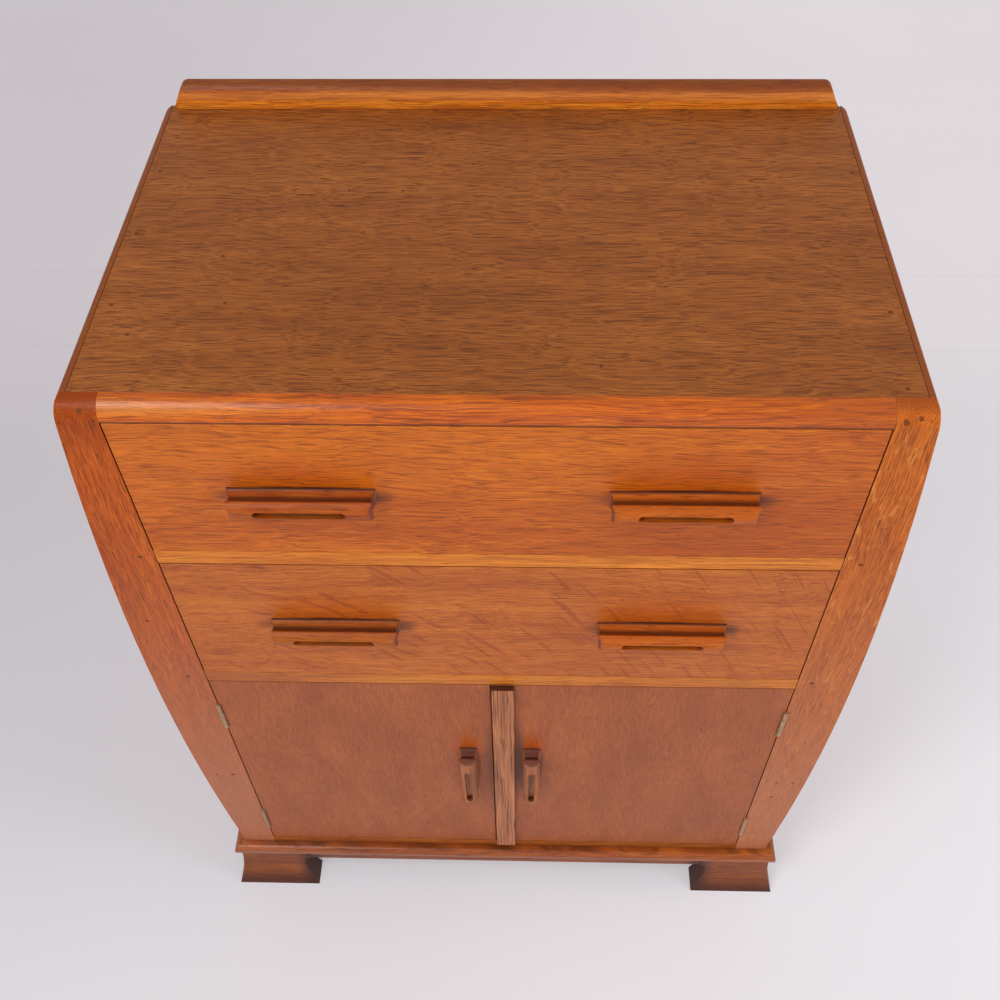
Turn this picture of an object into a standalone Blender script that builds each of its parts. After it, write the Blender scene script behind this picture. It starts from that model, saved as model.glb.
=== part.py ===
"""Oak tallboy: two drawers over a two-door cupboard, with bowed sides and flared bracket feet.

Lengths are in metres and +Z is up. The front faces -Y, the floor is z = 0, and the world's
origin is the middle of the object's footprint. Pieces are drawn in case coordinates, whose
y = 0 is the face of the front stiles, and one empty carries them all to their place.
"""

from math import acos, atan2, cos, degrees, radians, sin, sqrt

import bmesh
import bpy
from mathutils import Matrix, Vector

# Clearances
GAP = 0.0003
DRAWER_SIDE_GAP = 0.0010
DRAWER_TOP_GAP = 0.0012
DOOR_GAP = 0.0010
SHELF_GAP = 0.0010

# Case
HEIGHT = 0.9958
OPENING_WIDTH = 0.640
UPPER_DRAWER_OPENING = 0.173
LOWER_DRAWER_OPENING = 0.1986
CASE_DEPTH = 0.441
STILE_WIDTH = 0.060
BOW_TOP_NARROWING = 0.0265
BOW_BELOW_MIDDLE = 0.0363
FRAME_THICKNESS = 0.018
NOSING_RADIUS = 0.017
SIDE_TOP_ROUNDING = 0.003
SIDE_THICKNESS = 0.006
SIDE_BACK_ROUNDING = 0.009
BACK_THICKNESS = 0.006
BACK_INSET = 0.008
TOP_THICKNESS = 0.0175
BOTTOM_THICKNESS = 0.0139
RAIL_HEIGHT = 0.0194
RAIL_DEPTH = 0.050
BACK_RAIL_HEIGHT = 0.045
EDGE = 0.0006

# Gallery along the back of the top
GALLERY_HEIGHT = 0.026
GALLERY_THICKNESS = 0.0137
GALLERY_END_INSET = 0.0087
GALLERY_NOSING = 0.0125
GALLERY_RAKE = 0.009
GALLERY_END_ROUNDING = 0.0095
GALLERY_CORNER_ROUNDING = 0.006

# Runners, shelf and stops inside the case
RUNNER_LEDGE = 0.020
GUIDE_THICKNESS = 0.016
GUIDE_HEIGHT = 0.045
DUST_BOARD_THICKNESS = 0.005
DUST_BOARD_REBATE = 0.008
SHELF_HEIGHT = 0.205
SHELF_THICKNESS = 0.014
SHELF_SETBACK = 0.030
BEARER_HEIGHT = 0.018
STOP_LENGTH = 0.040
STOP_DEPTH = 0.018
STOP_HEIGHT = 0.005
STOP_SPACING = 0.320
DOOR_STOP_HEIGHT = 0.012

# Plinth and feet
FOOT_HEIGHT = 0.0875
FOOT_LENGTH = 0.093
FOOT_THICKNESS = 0.020
FOOT_FLARE = 0.0142
FOOT_NECK = 0.084
FOOT_TOE = 0.101
NECK_HEIGHT = 0.050
NECK_RADIUS = 0.030
NECK_SWEEP = 21.5
APRON_HEIGHT = 0.0255
MOULDING_THICKNESS = 0.015
MOULDING_WIDTH = 0.050
MOULDING_FRONT_OVERHANG = 0.0135
MOULDING_SIDE_OVERHANG = 0.0149
MOULDING_SETBACK = 0.006
MOULDING_TOP_ROUNDING = 0.008
MOULDING_BOTTOM_ROUNDING = 0.0025

# Drawers
DRAWER_FRONT_THICKNESS = 0.018
DRAWER_SIDE_THICKNESS = 0.010
DRAWER_BACK_THICKNESS = 0.010
DRAWER_BOTTOM_THICKNESS = 0.005
DRAWER_DEPTH = 0.395
DRAWER_SIDE_DROP = 0.006
BOTTOM_GROOVE_HEIGHT = 0.010
BOTTOM_GROOVE_DEPTH = 0.005
DOVETAIL_LAP = 0.006
DOVETAIL_COUNT = 4
DOVETAIL_PIN = 0.012
DOVETAIL_SLOPE = 8.0

# Doors, their cover bead and hinges
DOOR_THICKNESS = 0.018
MEETING_OFFSET = -0.00965
MEETING_GAP = 0.0011
BEAD_WIDTH = 0.025
BEAD_THICKNESS = 0.007
BEAD_ROUNDING = 0.0012
HINGE_LENGTH = 0.052
HINGE_TOP_INSET = 0.0516
HINGE_BOTTOM_INSET = 0.038
KNUCKLE_RADIUS = 0.0028
KNUCKLE_COUNT = 5
PIN_RADIUS = 0.0012
PIN_CLEARANCE = 0.0003
PIN_PROUD = 0.0010
LEAF_THICKNESS = 0.0012
LEAF_WIDTH = 0.0155

# Pulls, the same moulding on drawers and doors. On the drawers it is returned round the ends.
DRAWER_PULL_LENGTH = 0.1294
DOOR_PULL_LENGTH = 0.107
PULL_WIDTH = 0.0215
PULL_DEPTH = 0.023
PULL_WAIST = 0.015
PULL_WAIST_DEPTH = 0.0115
PULL_CAP_WIDTH = 0.0206
PULL_CAP_START = 0.0152
PULL_CAP_RADIUS = 0.0109
PULL_END_WAIST = 0.0030
DRAWER_PULL_END_CAP = 0.0017
DRAWER_PULL_END_ROUNDING = 0.0080
DOOR_PULL_END_CAP = 0.0003
DOOR_PULL_END_ROUNDING = 0.0020
DRAWER_FLUTE_LENGTH = 0.081
FLUTE_WIDTH = 0.0075
FLUTE_DEPTH = 0.0055
DOOR_FLUTE_LENGTH = 0.077
DOOR_FLUTE_DROP = 0.0065
DRAWER_PULL_INSET = 0.1565
UPPER_LEFT_PULL_INSET = 0.1525
UPPER_PULL_DROP = 0.0905
LOWER_PULL_DROP = 0.1025
DOOR_PULL_ABOVE_MIDDLE = 0.0102
LEFT_DOOR_PULL_INSET = 0.0295
RIGHT_DOOR_PULL_INSET = 0.0455

# Smoothness of the curved faces
BOW_STEPS = 20
NOSING_STEPS = 8
SMALL_ARC_STEPS = 4
COVE_STEPS = 8
KNUCKLE_SIDES = 16
SMOOTH_ANGLE = 35.0

# Levels: the plinth goes up from the floor, the rest down from the height, and the cupboard is what is left
MOULDING_BOTTOM = FOOT_HEIGHT + GAP
MOULDING_TOP = MOULDING_BOTTOM + MOULDING_THICKNESS
CASE_BOTTOM = MOULDING_TOP + GAP
CUPBOARD_FLOOR = CASE_BOTTOM + BOTTOM_THICKNESS
SHELF_TOP = CUPBOARD_FLOOR + SHELF_HEIGHT + SHELF_THICKNESS
TOP_SURFACE = HEIGHT - GALLERY_HEIGHT - GAP
TOP_UNDERSIDE = TOP_SURFACE - TOP_THICKNESS
MIDDLE_RAIL_TOP = TOP_UNDERSIDE - UPPER_DRAWER_OPENING
MIDDLE_RAIL_BOTTOM = MIDDLE_RAIL_TOP - RAIL_HEIGHT
LOWER_RAIL_TOP = MIDDLE_RAIL_BOTTOM - LOWER_DRAWER_OPENING
LOWER_RAIL_BOTTOM = LOWER_RAIL_TOP - RAIL_HEIGHT

# The bow of the sides: where it is widest, and the radius that narrows it at the top
BOW_HEIGHT = (CASE_BOTTOM + TOP_SURFACE) / 2 - BOW_BELOW_MIDDLE
BOW_RISE = TOP_SURFACE - BOW_HEIGHT
BOW_RADIUS = (BOW_RISE**2 + BOW_TOP_NARROWING**2) / (2 * BOW_TOP_NARROWING)

# Places across and through the case
HALF_OPENING = OPENING_WIDTH / 2
FRAME_BACK = FRAME_THICKNESS + GAP
BACK_STILE_FRONT = CASE_DEPTH - FRAME_THICKNESS
BACK_STILE_GAP = BACK_STILE_FRONT - GAP
REAR = CASE_DEPTH + GAP + BACK_THICKNESS
GALLERY_FRONT = REAR - GALLERY_THICKNESS
FRONT_REACH = PULL_DEPTH + GAP
FACE_Y = (FRONT_REACH - REAR) / 2

HONEY_OAK = ("honey_oak", (0.45, 0.17, 0.05), 0.42)
TOP_OAK = ("brown_oak", (0.26, 0.10, 0.035), 0.42)
STILE_OAK = ("red_brown_oak", (0.36, 0.12, 0.045), 0.42)
DOOR_OAK = ("door_oak", (0.33, 0.12, 0.055), 0.5)
BEAD_OAK = ("pale_oak", (0.40, 0.19, 0.09), 0.5)
PLINTH_OAK = ("dark_oak", (0.25, 0.08, 0.03), 0.45)
INSIDE_OAK = ("raw_oak", (0.50, 0.30, 0.16), 0.6)
PLYWOOD = ("plywood", (0.46, 0.27, 0.14), 0.6)
BRASS = ("aged_brass", (0.42, 0.33, 0.20), 0.4)


SIDES = ((-1, "left"), (1, "right"))


def clear_scene():
    for item in list(bpy.data.objects):
        bpy.data.objects.remove(item, do_unlink=True)


def collection_named(name):
    collection = bpy.data.collections.new(name)
    bpy.context.scene.collection.children.link(collection)
    return collection


def material_of(finish):
    name, colour, roughness = finish
    material = bpy.data.materials.get(name)
    if material is None:
        material = bpy.data.materials.new(name)
        material.use_nodes = True
        shader = material.node_tree.nodes["Principled BSDF"]
        shader.inputs["Base Color"].default_value = (*colour, 1.0)
        shader.inputs["Roughness"].default_value = roughness
        shader.inputs["Metallic"].default_value = 1.0 if finish is BRASS else 0.0
    return material


def empty_at(name, place, parent=None):
    """An empty that carries pieces. Its place is in case coordinates."""
    empty = bpy.data.objects.new(name, None)
    empty.empty_display_size = 0.05
    PARTS.objects.link(empty)
    empty.location = Vector(place)
    if parent is not None:
        empty.parent = parent
    return empty


def add_piece(name, mesh, finish, carrier):
    """An object for a mesh drawn in case coordinates, carried by an empty."""
    piece = bpy.data.objects.new(name, mesh)
    PARTS.objects.link(piece)
    piece.data.materials.append(material_of(finish))
    piece.parent = carrier
    if carrier is not CASE:
        piece.location = -carrier.location
    return piece


def add_cutter(name, mesh):
    cutter = bpy.data.objects.new(name, mesh)
    CUTTERS.objects.link(cutter)
    cutter.parent = CASE
    cutter.hide_render = True
    cutter.display_type = "WIRE"
    return cutter


def box_mesh(x, y, z):
    """A box between the given low and high values on each axis."""
    spans = [sorted(pair) for pair in (x, y, z)]
    middle = Vector([(low + high) / 2 for low, high in spans])
    size = [high - low for low, high in spans]
    shape = bmesh.new()
    bmesh.ops.create_cube(shape, size=1.0, matrix=Matrix.Translation(middle) @ Matrix.Diagonal((*size, 1.0)))
    mesh = bpy.data.meshes.new("box")
    shape.to_mesh(mesh)
    shape.free()
    return mesh


def cylinder_mesh(centre, z, radius, sides=KNUCKLE_SIDES):
    """An upright cylinder on centre (x, y), between two heights."""
    low, high = z
    shape = bmesh.new()
    bmesh.ops.create_cone(
        shape,
        cap_ends=True,
        segments=sides,
        radius1=radius,
        radius2=radius,
        depth=high - low,
        matrix=Matrix.Translation((centre[0], centre[1], (low + high) / 2)),
    )
    mesh = bpy.data.meshes.new("cylinder")
    shape.to_mesh(mesh)
    shape.free()
    return mesh


# For each axis that an outline is extruded along: the directions of its own two axes.
DRAWN_ON = {
    "X": (Vector((0, 1, 0)), Vector((0, 0, 1))),
    "Y": (Vector((1, 0, 0)), Vector((0, 0, 1))),
    "Z": (Vector((1, 0, 0)), Vector((0, 1, 0))),
}


def outline_mesh(outline, axis, span):
    """A flat outline filled and extruded along X, Y or Z, between two values of that axis."""
    low, high = sorted(span)
    curve = bpy.data.curves.new("outline", "CURVE")
    curve.dimensions = "2D"
    curve.fill_mode = "BOTH"
    curve.extrude = (high - low) / 2
    spline = curve.splines.new("POLY")
    spline.points.add(len(outline) - 1)
    for point, (across, up) in zip(spline.points, outline):
        point.co = (across, up, 0.0, 1.0)
    spline.use_cyclic_u = True
    drawn = bpy.data.objects.new("outline", curve)
    bpy.context.scene.collection.objects.link(drawn)
    graph = bpy.context.evaluated_depsgraph_get()
    mesh = bpy.data.meshes.new_from_object(drawn.evaluated_get(graph))
    bpy.data.objects.remove(drawn, do_unlink=True)

    right, up = DRAWN_ON[axis]
    along = right.cross(up)
    turn = Matrix((right, up, along)).transposed().to_4x4()
    middle = Vector([abs(value) for value in along]) * (low + high) / 2
    shape = bmesh.new()
    shape.from_mesh(mesh)
    bmesh.ops.remove_doubles(shape, verts=shape.verts, dist=1e-7)
    bmesh.ops.transform(shape, matrix=Matrix.Translation(middle) @ turn, verts=shape.verts)
    bmesh.ops.recalc_face_normals(shape, faces=shape.faces)
    shape.to_mesh(mesh)
    shape.free()
    return mesh


def boolean(piece, operation, other):
    modifier = piece.modifiers.new(operation.lower(), "BOOLEAN")
    modifier.operation = operation
    modifier.solver = "EXACT"
    modifier.object = other


def cut(piece, mesh):
    boolean(piece, "DIFFERENCE", add_cutter(f"{piece.name}_cutter", mesh))


def keep_inside(piece, mesh):
    boolean(piece, "INTERSECT", add_cutter(f"{piece.name}_outline", mesh))


def join(piece, mesh):
    boolean(piece, "UNION", add_cutter(f"{piece.name}_added", mesh))


def ease_edges(piece, width=EDGE, segments=1):
    """Breaks every edge of a board, as sandpaper would."""
    modifier = piece.modifiers.new("eased edges", "BEVEL")
    modifier.width = width
    modifier.segments = segments
    modifier.limit_method = "ANGLE"
    modifier.angle_limit = radians(SMOOTH_ANGLE)


def smooth(piece):
    piece.data.shade_smooth()
    piece.data.set_sharp_from_angle(angle=radians(SMOOTH_ANGLE))


def board(name, x, y, z, finish, carrier=None, edge=EDGE):
    piece = add_piece(name, box_mesh(x, y, z), finish, carrier or CASE)
    if edge:
        ease_edges(piece, edge)
    return piece


def arc(centre, radii, start, end, steps):
    """Points on an arc of a circle or ellipse, between two angles in degrees."""
    angles = [radians(start + (end - start) * step / steps) for step in range(steps + 1)]
    return [(centre[0] + radii[0] * cos(a), centre[1] + radii[1] * sin(a)) for a in angles]


def half_width(height):
    """From the middle to the outer face of the case's bowed side."""
    rise = height - BOW_HEIGHT
    return HALF_OPENING + STILE_WIDTH - BOW_RADIUS + sqrt(BOW_RADIUS**2 - rise**2)


def narrowest(low, high):
    return min(half_width(low), half_width(high))


def bow(low, high, inset=0.0):
    """Points up the bowed side, a distance inside its outer face."""
    heights = [low + (high - low) * step / BOW_STEPS for step in range(BOW_STEPS + 1)]
    return [(half_width(height) - inset, height) for height in heights]


def outer_edge(height):
    """The outer face of the side, rounded over at the edge of the top."""
    radius = SIDE_TOP_ROUNDING
    rise = max(0.0, height - TOP_SURFACE + radius)
    return half_width(height) - radius + sqrt(max(radius**2 - rise**2, 0.0))


def side_levels():
    """Heights up the side, closer together where its top edge is rounded over."""
    start = TOP_SURFACE - SIDE_TOP_ROUNDING
    levels = [CASE_BOTTOM + (start - CASE_BOTTOM) * step / BOW_STEPS for step in range(BOW_STEPS)]
    return levels + [height for _, height in arc((0, start), (0, SIDE_TOP_ROUNDING), 0, 90, SMALL_ARC_STEPS)]


def sided(outline, side):
    """The outline as drawn for the right, or mirrored for the left."""
    return [(side * across, up) for across, up in outline]


def nosed_outline(low, high):
    """Section of the front frame at the top: upright, with a quarter-round front top edge."""
    radius = NOSING_RADIUS
    nosing = arc((radius, high - radius), (radius, radius), 180, 90, NOSING_STEPS)
    return [(FRAME_THICKNESS, low), (0.0, low), *nosing, (FRAME_THICKNESS, high)]


def hinge_spans():
    """Heights of the top and bottom hinge."""
    top = LOWER_RAIL_BOTTOM - HINGE_TOP_INSET
    bottom = CUPBOARD_FLOOR + HINGE_BOTTOM_INSET
    return {"top": (top - HINGE_LENGTH, top), "bottom": (bottom, bottom + HINGE_LENGTH)}


def hinge_axis(side):
    return (side * (HALF_OPENING - DOOR_GAP / 2), -PIN_PROUD)


def cut_hinge_seats(piece, side, into):
    """Sinks the hinges' leaves and knuckles into an upright edge at x = into."""
    away = 1 if abs(into) >= HALF_OPENING else -1
    floor_of_seat = into + side * away * (LEAF_THICKNESS + GAP)
    axis = hinge_axis(side)
    for low, high in hinge_spans().values():
        heights = (low - GAP, high + GAP)
        mouth = (axis[0], floor_of_seat)
        cut(piece, box_mesh(mouth, (-PIN_PROUD - KNUCKLE_RADIUS, LEAF_WIDTH + GAP), heights))
        cut(piece, cylinder_mesh(axis, heights, KNUCKLE_RADIUS + GAP))


def make_stiles():
    """Front and back stiles: a straight inner edge and a bowed outer one."""
    for side, hand in SIDES:
        name = f"front_stile_{hand}"
        edge = [(outer_edge(height), height) for height in side_levels()]
        front = [(HALF_OPENING, TOP_SURFACE), (HALF_OPENING, CASE_BOTTOM), *edge]
        solid = outline_mesh(sided(front, side), "Y", (0.0, FRAME_THICKNESS))
        stile = add_piece(name, solid, STILE_OAK, CASE)
        section = nosed_outline(CASE_BOTTOM, TOP_SURFACE)
        beyond = HALF_OPENING + 2 * STILE_WIDTH
        keep_inside(stile, outline_mesh(section, "X", (side * HALF_OPENING / 2, side * beyond)))
        cut_hinge_seats(stile, side, side * HALF_OPENING)
        smooth(stile)

        inset = SIDE_THICKNESS + GAP
        top = TOP_UNDERSIDE - GAP
        back = [(HALF_OPENING, top), (HALF_OPENING, CASE_BOTTOM), *bow(CASE_BOTTOM, top, inset)]
        solid = outline_mesh(sided(back, side), "Y", (BACK_STILE_FRONT, CASE_DEPTH))
        smooth(add_piece(f"back_stile_{hand}", solid, INSIDE_OAK, CASE))


def bent_panel_mesh(plan, side):
    """An upright panel of the given plan section, bent so that its outer face follows the side."""
    levels = side_levels()
    mesh = outline_mesh(plan, "Z", (levels[0], levels[-1]))
    shape = bmesh.new()
    shape.from_mesh(mesh)
    for level in levels[1:-1]:
        everything = shape.verts[:] + shape.edges[:] + shape.faces[:]
        bmesh.ops.bisect_plane(shape, geom=everything, plane_co=(0, 0, level), plane_no=(0, 0, 1))
    for vertex in shape.verts:
        height = vertex.co.z
        outermost = 1 + vertex.co.x / SIDE_THICKNESS
        rounding = outermost * (half_width(height) - outer_edge(height))
        vertex.co.x = side * (vertex.co.x + half_width(height) - rounding)
    if shape.calc_volume(signed=True) < 0:
        bmesh.ops.reverse_faces(shape, faces=shape.faces)
    shape.to_mesh(mesh)
    shape.free()
    return mesh


def make_side_panels():
    """Thin panels bent to the bow, behind the front stiles and level with the top."""
    rounded = SIDE_BACK_ROUNDING
    across = SIDE_THICKNESS - EDGE
    corner = arc((-across, CASE_DEPTH - rounded), (across, rounded), 0, 90, SMALL_ARC_STEPS)
    plan = [(-SIDE_THICKNESS, FRAME_BACK), (0.0, FRAME_BACK), *corner, (-SIDE_THICKNESS, CASE_DEPTH)]
    for side, hand in SIDES:
        mesh = bent_panel_mesh(plan, side)
        smooth(add_piece(f"side_panel_{hand}", mesh, STILE_OAK, CASE))


def make_top():
    """The top between the side panels, its rounded front rail and the gallery along its back."""
    reach = narrowest(TOP_UNDERSIDE, TOP_SURFACE) - SIDE_THICKNESS - GAP
    across = (-reach, reach)
    board("top_panel", across, (FRAME_BACK, CASE_DEPTH), (TOP_UNDERSIDE, TOP_SURFACE), TOP_OAK)
    section = nosed_outline(TOP_UNDERSIDE, TOP_SURFACE)
    mesh = outline_mesh(section, "X", (GAP - HALF_OPENING, HALF_OPENING - GAP))
    smooth(add_piece("top_front_rail", mesh, HONEY_OAK, CASE))

    low = TOP_SURFACE + GAP
    high = low + GALLERY_HEIGHT
    half = half_width(TOP_SURFACE) - GALLERY_END_INSET
    nosing = arc(
        (GALLERY_FRONT + GALLERY_NOSING, high - GALLERY_NOSING),
        (GALLERY_NOSING, GALLERY_NOSING),
        180,
        90,
        NOSING_STEPS,
    )
    section = [(REAR, low), (GALLERY_FRONT, low), *nosing, (REAR, high)]
    gallery = add_piece("gallery_rail", outline_mesh(section, "X", (-half, half)), HONEY_OAK, CASE)
    beyond = GALLERY_THICKNESS
    top = GALLERY_END_ROUNDING
    lean = degrees(atan2(GALLERY_RAKE, GALLERY_HEIGHT - top))
    crown = (half - GALLERY_RAKE - top, high - top)
    right_end = [(half, low), *arc(crown, (top, top), lean, 90, NOSING_STEPS)]
    front = right_end + sided(right_end[::-1], -1)
    keep_inside(gallery, outline_mesh(front, "Y", (GALLERY_FRONT - beyond, REAR + beyond)))
    rounded = GALLERY_CORNER_ROUNDING
    corner = arc((half - rounded, GALLERY_FRONT + rounded), (rounded, rounded), 0, -90, SMALL_ARC_STEPS)
    plan = [(half, REAR + beyond), *corner]
    plan += sided(plan[::-1], -1)
    keep_inside(gallery, outline_mesh(plan, "Z", (low - beyond, high + beyond)))
    smooth(gallery)


def make_rails():
    """Rails above and between the openings, with the drawers' stop blocks glued on them."""
    across = (GAP - HALF_OPENING, HALF_OPENING - GAP)
    deep = (0.0, RAIL_DEPTH)
    levels = (
        ("lower_rail", LOWER_RAIL_BOTTOM, LOWER_RAIL_TOP),
        ("middle_rail", MIDDLE_RAIL_BOTTOM, MIDDLE_RAIL_TOP),
    )
    for name, low, high in levels:
        rail = board(name, across, deep, (low, high), HONEY_OAK)
        stop_front = DRAWER_FRONT_THICKNESS + GAP
        for side, _ in SIDES:
            middle = side * STOP_SPACING / 2
            x = (middle - STOP_LENGTH / 2, middle + STOP_LENGTH / 2)
            y = (stop_front, stop_front + STOP_DEPTH)
            join(rail, box_mesh(x, y, (high - RAIL_HEIGHT / 2, high + STOP_HEIGHT)))
    y = (DOOR_THICKNESS + GAP, DOOR_THICKNESS + GAP + STOP_DEPTH)
    z = (LOWER_RAIL_BOTTOM - GAP - DOOR_STOP_HEIGHT, LOWER_RAIL_BOTTOM - GAP)
    board("door_stop", across, y, z, INSIDE_OAK)
    high = TOP_UNDERSIDE - GAP
    y = (BACK_STILE_FRONT, CASE_DEPTH)
    board("back_rail", across, y, (high - BACK_RAIL_HEIGHT, high), INSIDE_OAK)


def make_bottom_and_back():
    """The cupboard's floor, notched round the four stiles, and the thin back."""
    narrow = HALF_OPENING - GAP
    wide = narrowest(CASE_BOTTOM, CUPBOARD_FLOOR) - SIDE_THICKNESS - GAP
    right = [
        (narrow, 0.0),
        (narrow, FRAME_BACK),
        (wide, FRAME_BACK),
        (wide, BACK_STILE_GAP),
        (narrow, BACK_STILE_GAP),
        (narrow, CASE_DEPTH),
    ]
    plan = right + sided(right[::-1], -1)
    floor = outline_mesh(plan, "Z", (CASE_BOTTOM, CUPBOARD_FLOOR))
    add_piece("bottom_board", floor, HONEY_OAK, CASE)
    edge = bow(CASE_BOTTOM, TOP_SURFACE, BACK_INSET)
    outline = edge + sided(edge[::-1], -1)
    back = outline_mesh(outline, "Y", (CASE_DEPTH + GAP, REAR))
    smooth(add_piece("back_panel", back, PLYWOOD, CASE))


def make_runners():
    """L-shaped runners, each a ledge under a drawer's side and a guide beside it."""
    for level, high in (("lower", LOWER_RAIL_TOP), ("upper", MIDDLE_RAIL_TOP)):
        low = high - RAIL_HEIGHT
        guide_top = high + GUIDE_HEIGHT
        for side, hand in SIDES:
            near = side * (HALF_OPENING + GAP)
            far = side * (HALF_OPENING + GUIDE_THICKNESS)
            ledge = side * (HALF_OPENING - RUNNER_LEDGE)
            mesh = box_mesh((near, far), (FRAME_BACK, BACK_STILE_GAP), (low, guide_top))
            runner = add_piece(f"{level}_runner_{hand}", mesh, INSIDE_OAK, CASE)
            join(runner, box_mesh((ledge, far), (RAIL_DEPTH + GAP, BACK_STILE_GAP), (low, high)))
            if level == "lower":
                rebate = ledge + side * DUST_BOARD_REBATE
                beyond = ledge - side * DUST_BOARD_REBATE
                depth = (high - DUST_BOARD_THICKNESS - GAP, high + GAP)
                cut(runner, box_mesh((beyond, rebate), (0.0, CASE_DEPTH), depth))
    reach = HALF_OPENING - RUNNER_LEDGE + DUST_BOARD_REBATE - GAP
    y = (RAIL_DEPTH + GAP, BACK_STILE_GAP)
    z = (LOWER_RAIL_TOP - DUST_BOARD_THICKNESS, LOWER_RAIL_TOP)
    board("dust_board", (-reach, reach), y, z, PLYWOOD, edge=0.0)


def make_shelf():
    """A loose shelf on two bearers that run from the front stiles to the back ones."""
    bearer_top = SHELF_TOP - SHELF_THICKNESS - GAP
    for side, hand in SIDES:
        x = (side * (HALF_OPENING + GAP), side * (HALF_OPENING + GUIDE_THICKNESS))
        z = (bearer_top - BEARER_HEIGHT, bearer_top)
        board(f"shelf_bearer_{hand}", x, (FRAME_BACK, BACK_STILE_GAP), z, INSIDE_OAK)
    reach = narrowest(SHELF_TOP - SHELF_THICKNESS, SHELF_TOP) - SIDE_THICKNESS - SHELF_GAP
    y = (FRAME_THICKNESS + SHELF_SETBACK, BACK_STILE_FRONT - SHELF_GAP)
    board("shelf", (-reach, reach), y, (SHELF_TOP - SHELF_THICKNESS, SHELF_TOP), INSIDE_OAK)


def moulding_section():
    """The plinth moulding's section: (distance in from its outer face, height)."""
    top = MOULDING_TOP_ROUNDING
    bottom = MOULDING_BOTTOM_ROUNDING
    upper = arc((top, MOULDING_TOP - top), (top, top), 90, 180, NOSING_STEPS)
    lower = arc((bottom, MOULDING_BOTTOM + bottom), (bottom, bottom), 180, 270, SMALL_ARC_STEPS)
    return [(MOULDING_WIDTH, MOULDING_TOP), *upper, *lower, (MOULDING_WIDTH, MOULDING_BOTTOM)]


def make_plinth_moulding():
    """A rounded moulding under the front and both sides, mitred at the front corners."""
    half = half_width(CASE_BOTTOM) + MOULDING_SIDE_OVERHANG
    front = -MOULDING_FRONT_OVERHANG
    section = moulding_section()
    mitre_gap = GAP / sqrt(2)
    levels = (0.0, TOP_SURFACE)

    outline = [(front + depth, height) for depth, height in section]
    piece = add_piece("plinth_moulding_front", outline_mesh(outline, "X", (-half, half)), PLINTH_OAK, CASE)
    corner = half - mitre_gap
    ahead = REAR
    wedge = [(corner + ahead, front - ahead), (0.0, front + corner), (-corner - ahead, front - ahead)]
    keep_inside(piece, outline_mesh(wedge, "Z", levels))
    smooth(piece)

    for side, hand in SIDES:
        outline = [(side * (half - depth), height) for depth, height in section]
        name = f"plinth_moulding_{hand}"
        piece = add_piece(name, outline_mesh(outline, "Y", (front, REAR)), PLINTH_OAK, CASE)
        start = front + mitre_gap
        far = REAR + half
        wedge = [(half + ahead, start - ahead), (half + ahead, far), (half + start - far, far)]
        keep_inside(piece, outline_mesh(sided(wedge, side), "Z", levels))
        smooth(piece)


def plinth_face():
    """Half the width over the feet at their top, and the y of the front feet's face there."""
    half = half_width(CASE_BOTTOM) + MOULDING_SIDE_OVERHANG - MOULDING_SETBACK
    return half, MOULDING_SETBACK - MOULDING_FRONT_OVERHANG


def flare(height):
    """How far a foot's outer face stands out from its top, at a height above the floor."""
    drop = FOOT_HEIGHT - height
    radius = (FOOT_HEIGHT**2 + FOOT_FLARE**2) / (2 * FOOT_FLARE)
    return radius - sqrt(radius**2 - drop**2)


def foot_profile():
    """A foot seen square on: (distance in from its face at the top, height)."""
    levels = [FOOT_HEIGHT * step / COVE_STEPS for step in range(COVE_STEPS + 1)]
    outer = [(-flare(height), height) for height in reversed(levels)]
    radius = NECK_RADIUS
    lower = arc((FOOT_NECK + radius, NECK_HEIGHT), (radius, radius), 180 + NECK_SWEEP, 180, SMALL_ARC_STEPS)
    spring = (FOOT_LENGTH - FOOT_NECK, FOOT_HEIGHT - APRON_HEIGHT - NECK_HEIGHT)
    upper = arc((FOOT_LENGTH, NECK_HEIGHT), spring, 180, 90, SMALL_ARC_STEPS)
    return [*outer, (FOOT_TOE, 0.0), *lower, *upper[1:], (FOOT_LENGTH, FOOT_HEIGHT)]


def make_feet():
    """Four bracket feet: flared and coved in both views, hollow behind. The back ones end square."""
    half, front = plinth_face()
    profile = foot_profile()
    reach = FOOT_TOE
    beyond = reach + FOOT_LENGTH
    for side, hand in SIDES:
        seen_from_front = [(side * (half - depth), height) for depth, height in profile]
        inner = side * (half - FOOT_THICKNESS)
        far = side * (half - beyond)
        for end in ("front", "back"):
            if end == "front":
                seen_from_side = [(front + depth, height) for depth, height in profile]
                pocket = (front + FOOT_THICKNESS, front + beyond)
                span = (front - reach, front + beyond)
            else:
                seen_from_side = [(REAR - max(depth, 0.0), height) for depth, height in profile]
                seen_from_side = [(REAR, FOOT_HEIGHT), *seen_from_side[COVE_STEPS:]]
                pocket = (REAR - beyond, REAR - FOOT_THICKNESS)
                span = (REAR - beyond, REAR + reach)
            name = f"{end}_foot_{hand}"
            foot = add_piece(name, outline_mesh(seen_from_front, "Y", span), PLINTH_OAK, CASE)
            across = (side * (half + reach), side * (half - beyond))
            keep_inside(foot, outline_mesh(seen_from_side, "X", across))
            cut(foot, box_mesh((inner, far), pocket, (-FOOT_HEIGHT, 2 * FOOT_HEIGHT)))
            smooth(foot)


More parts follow.
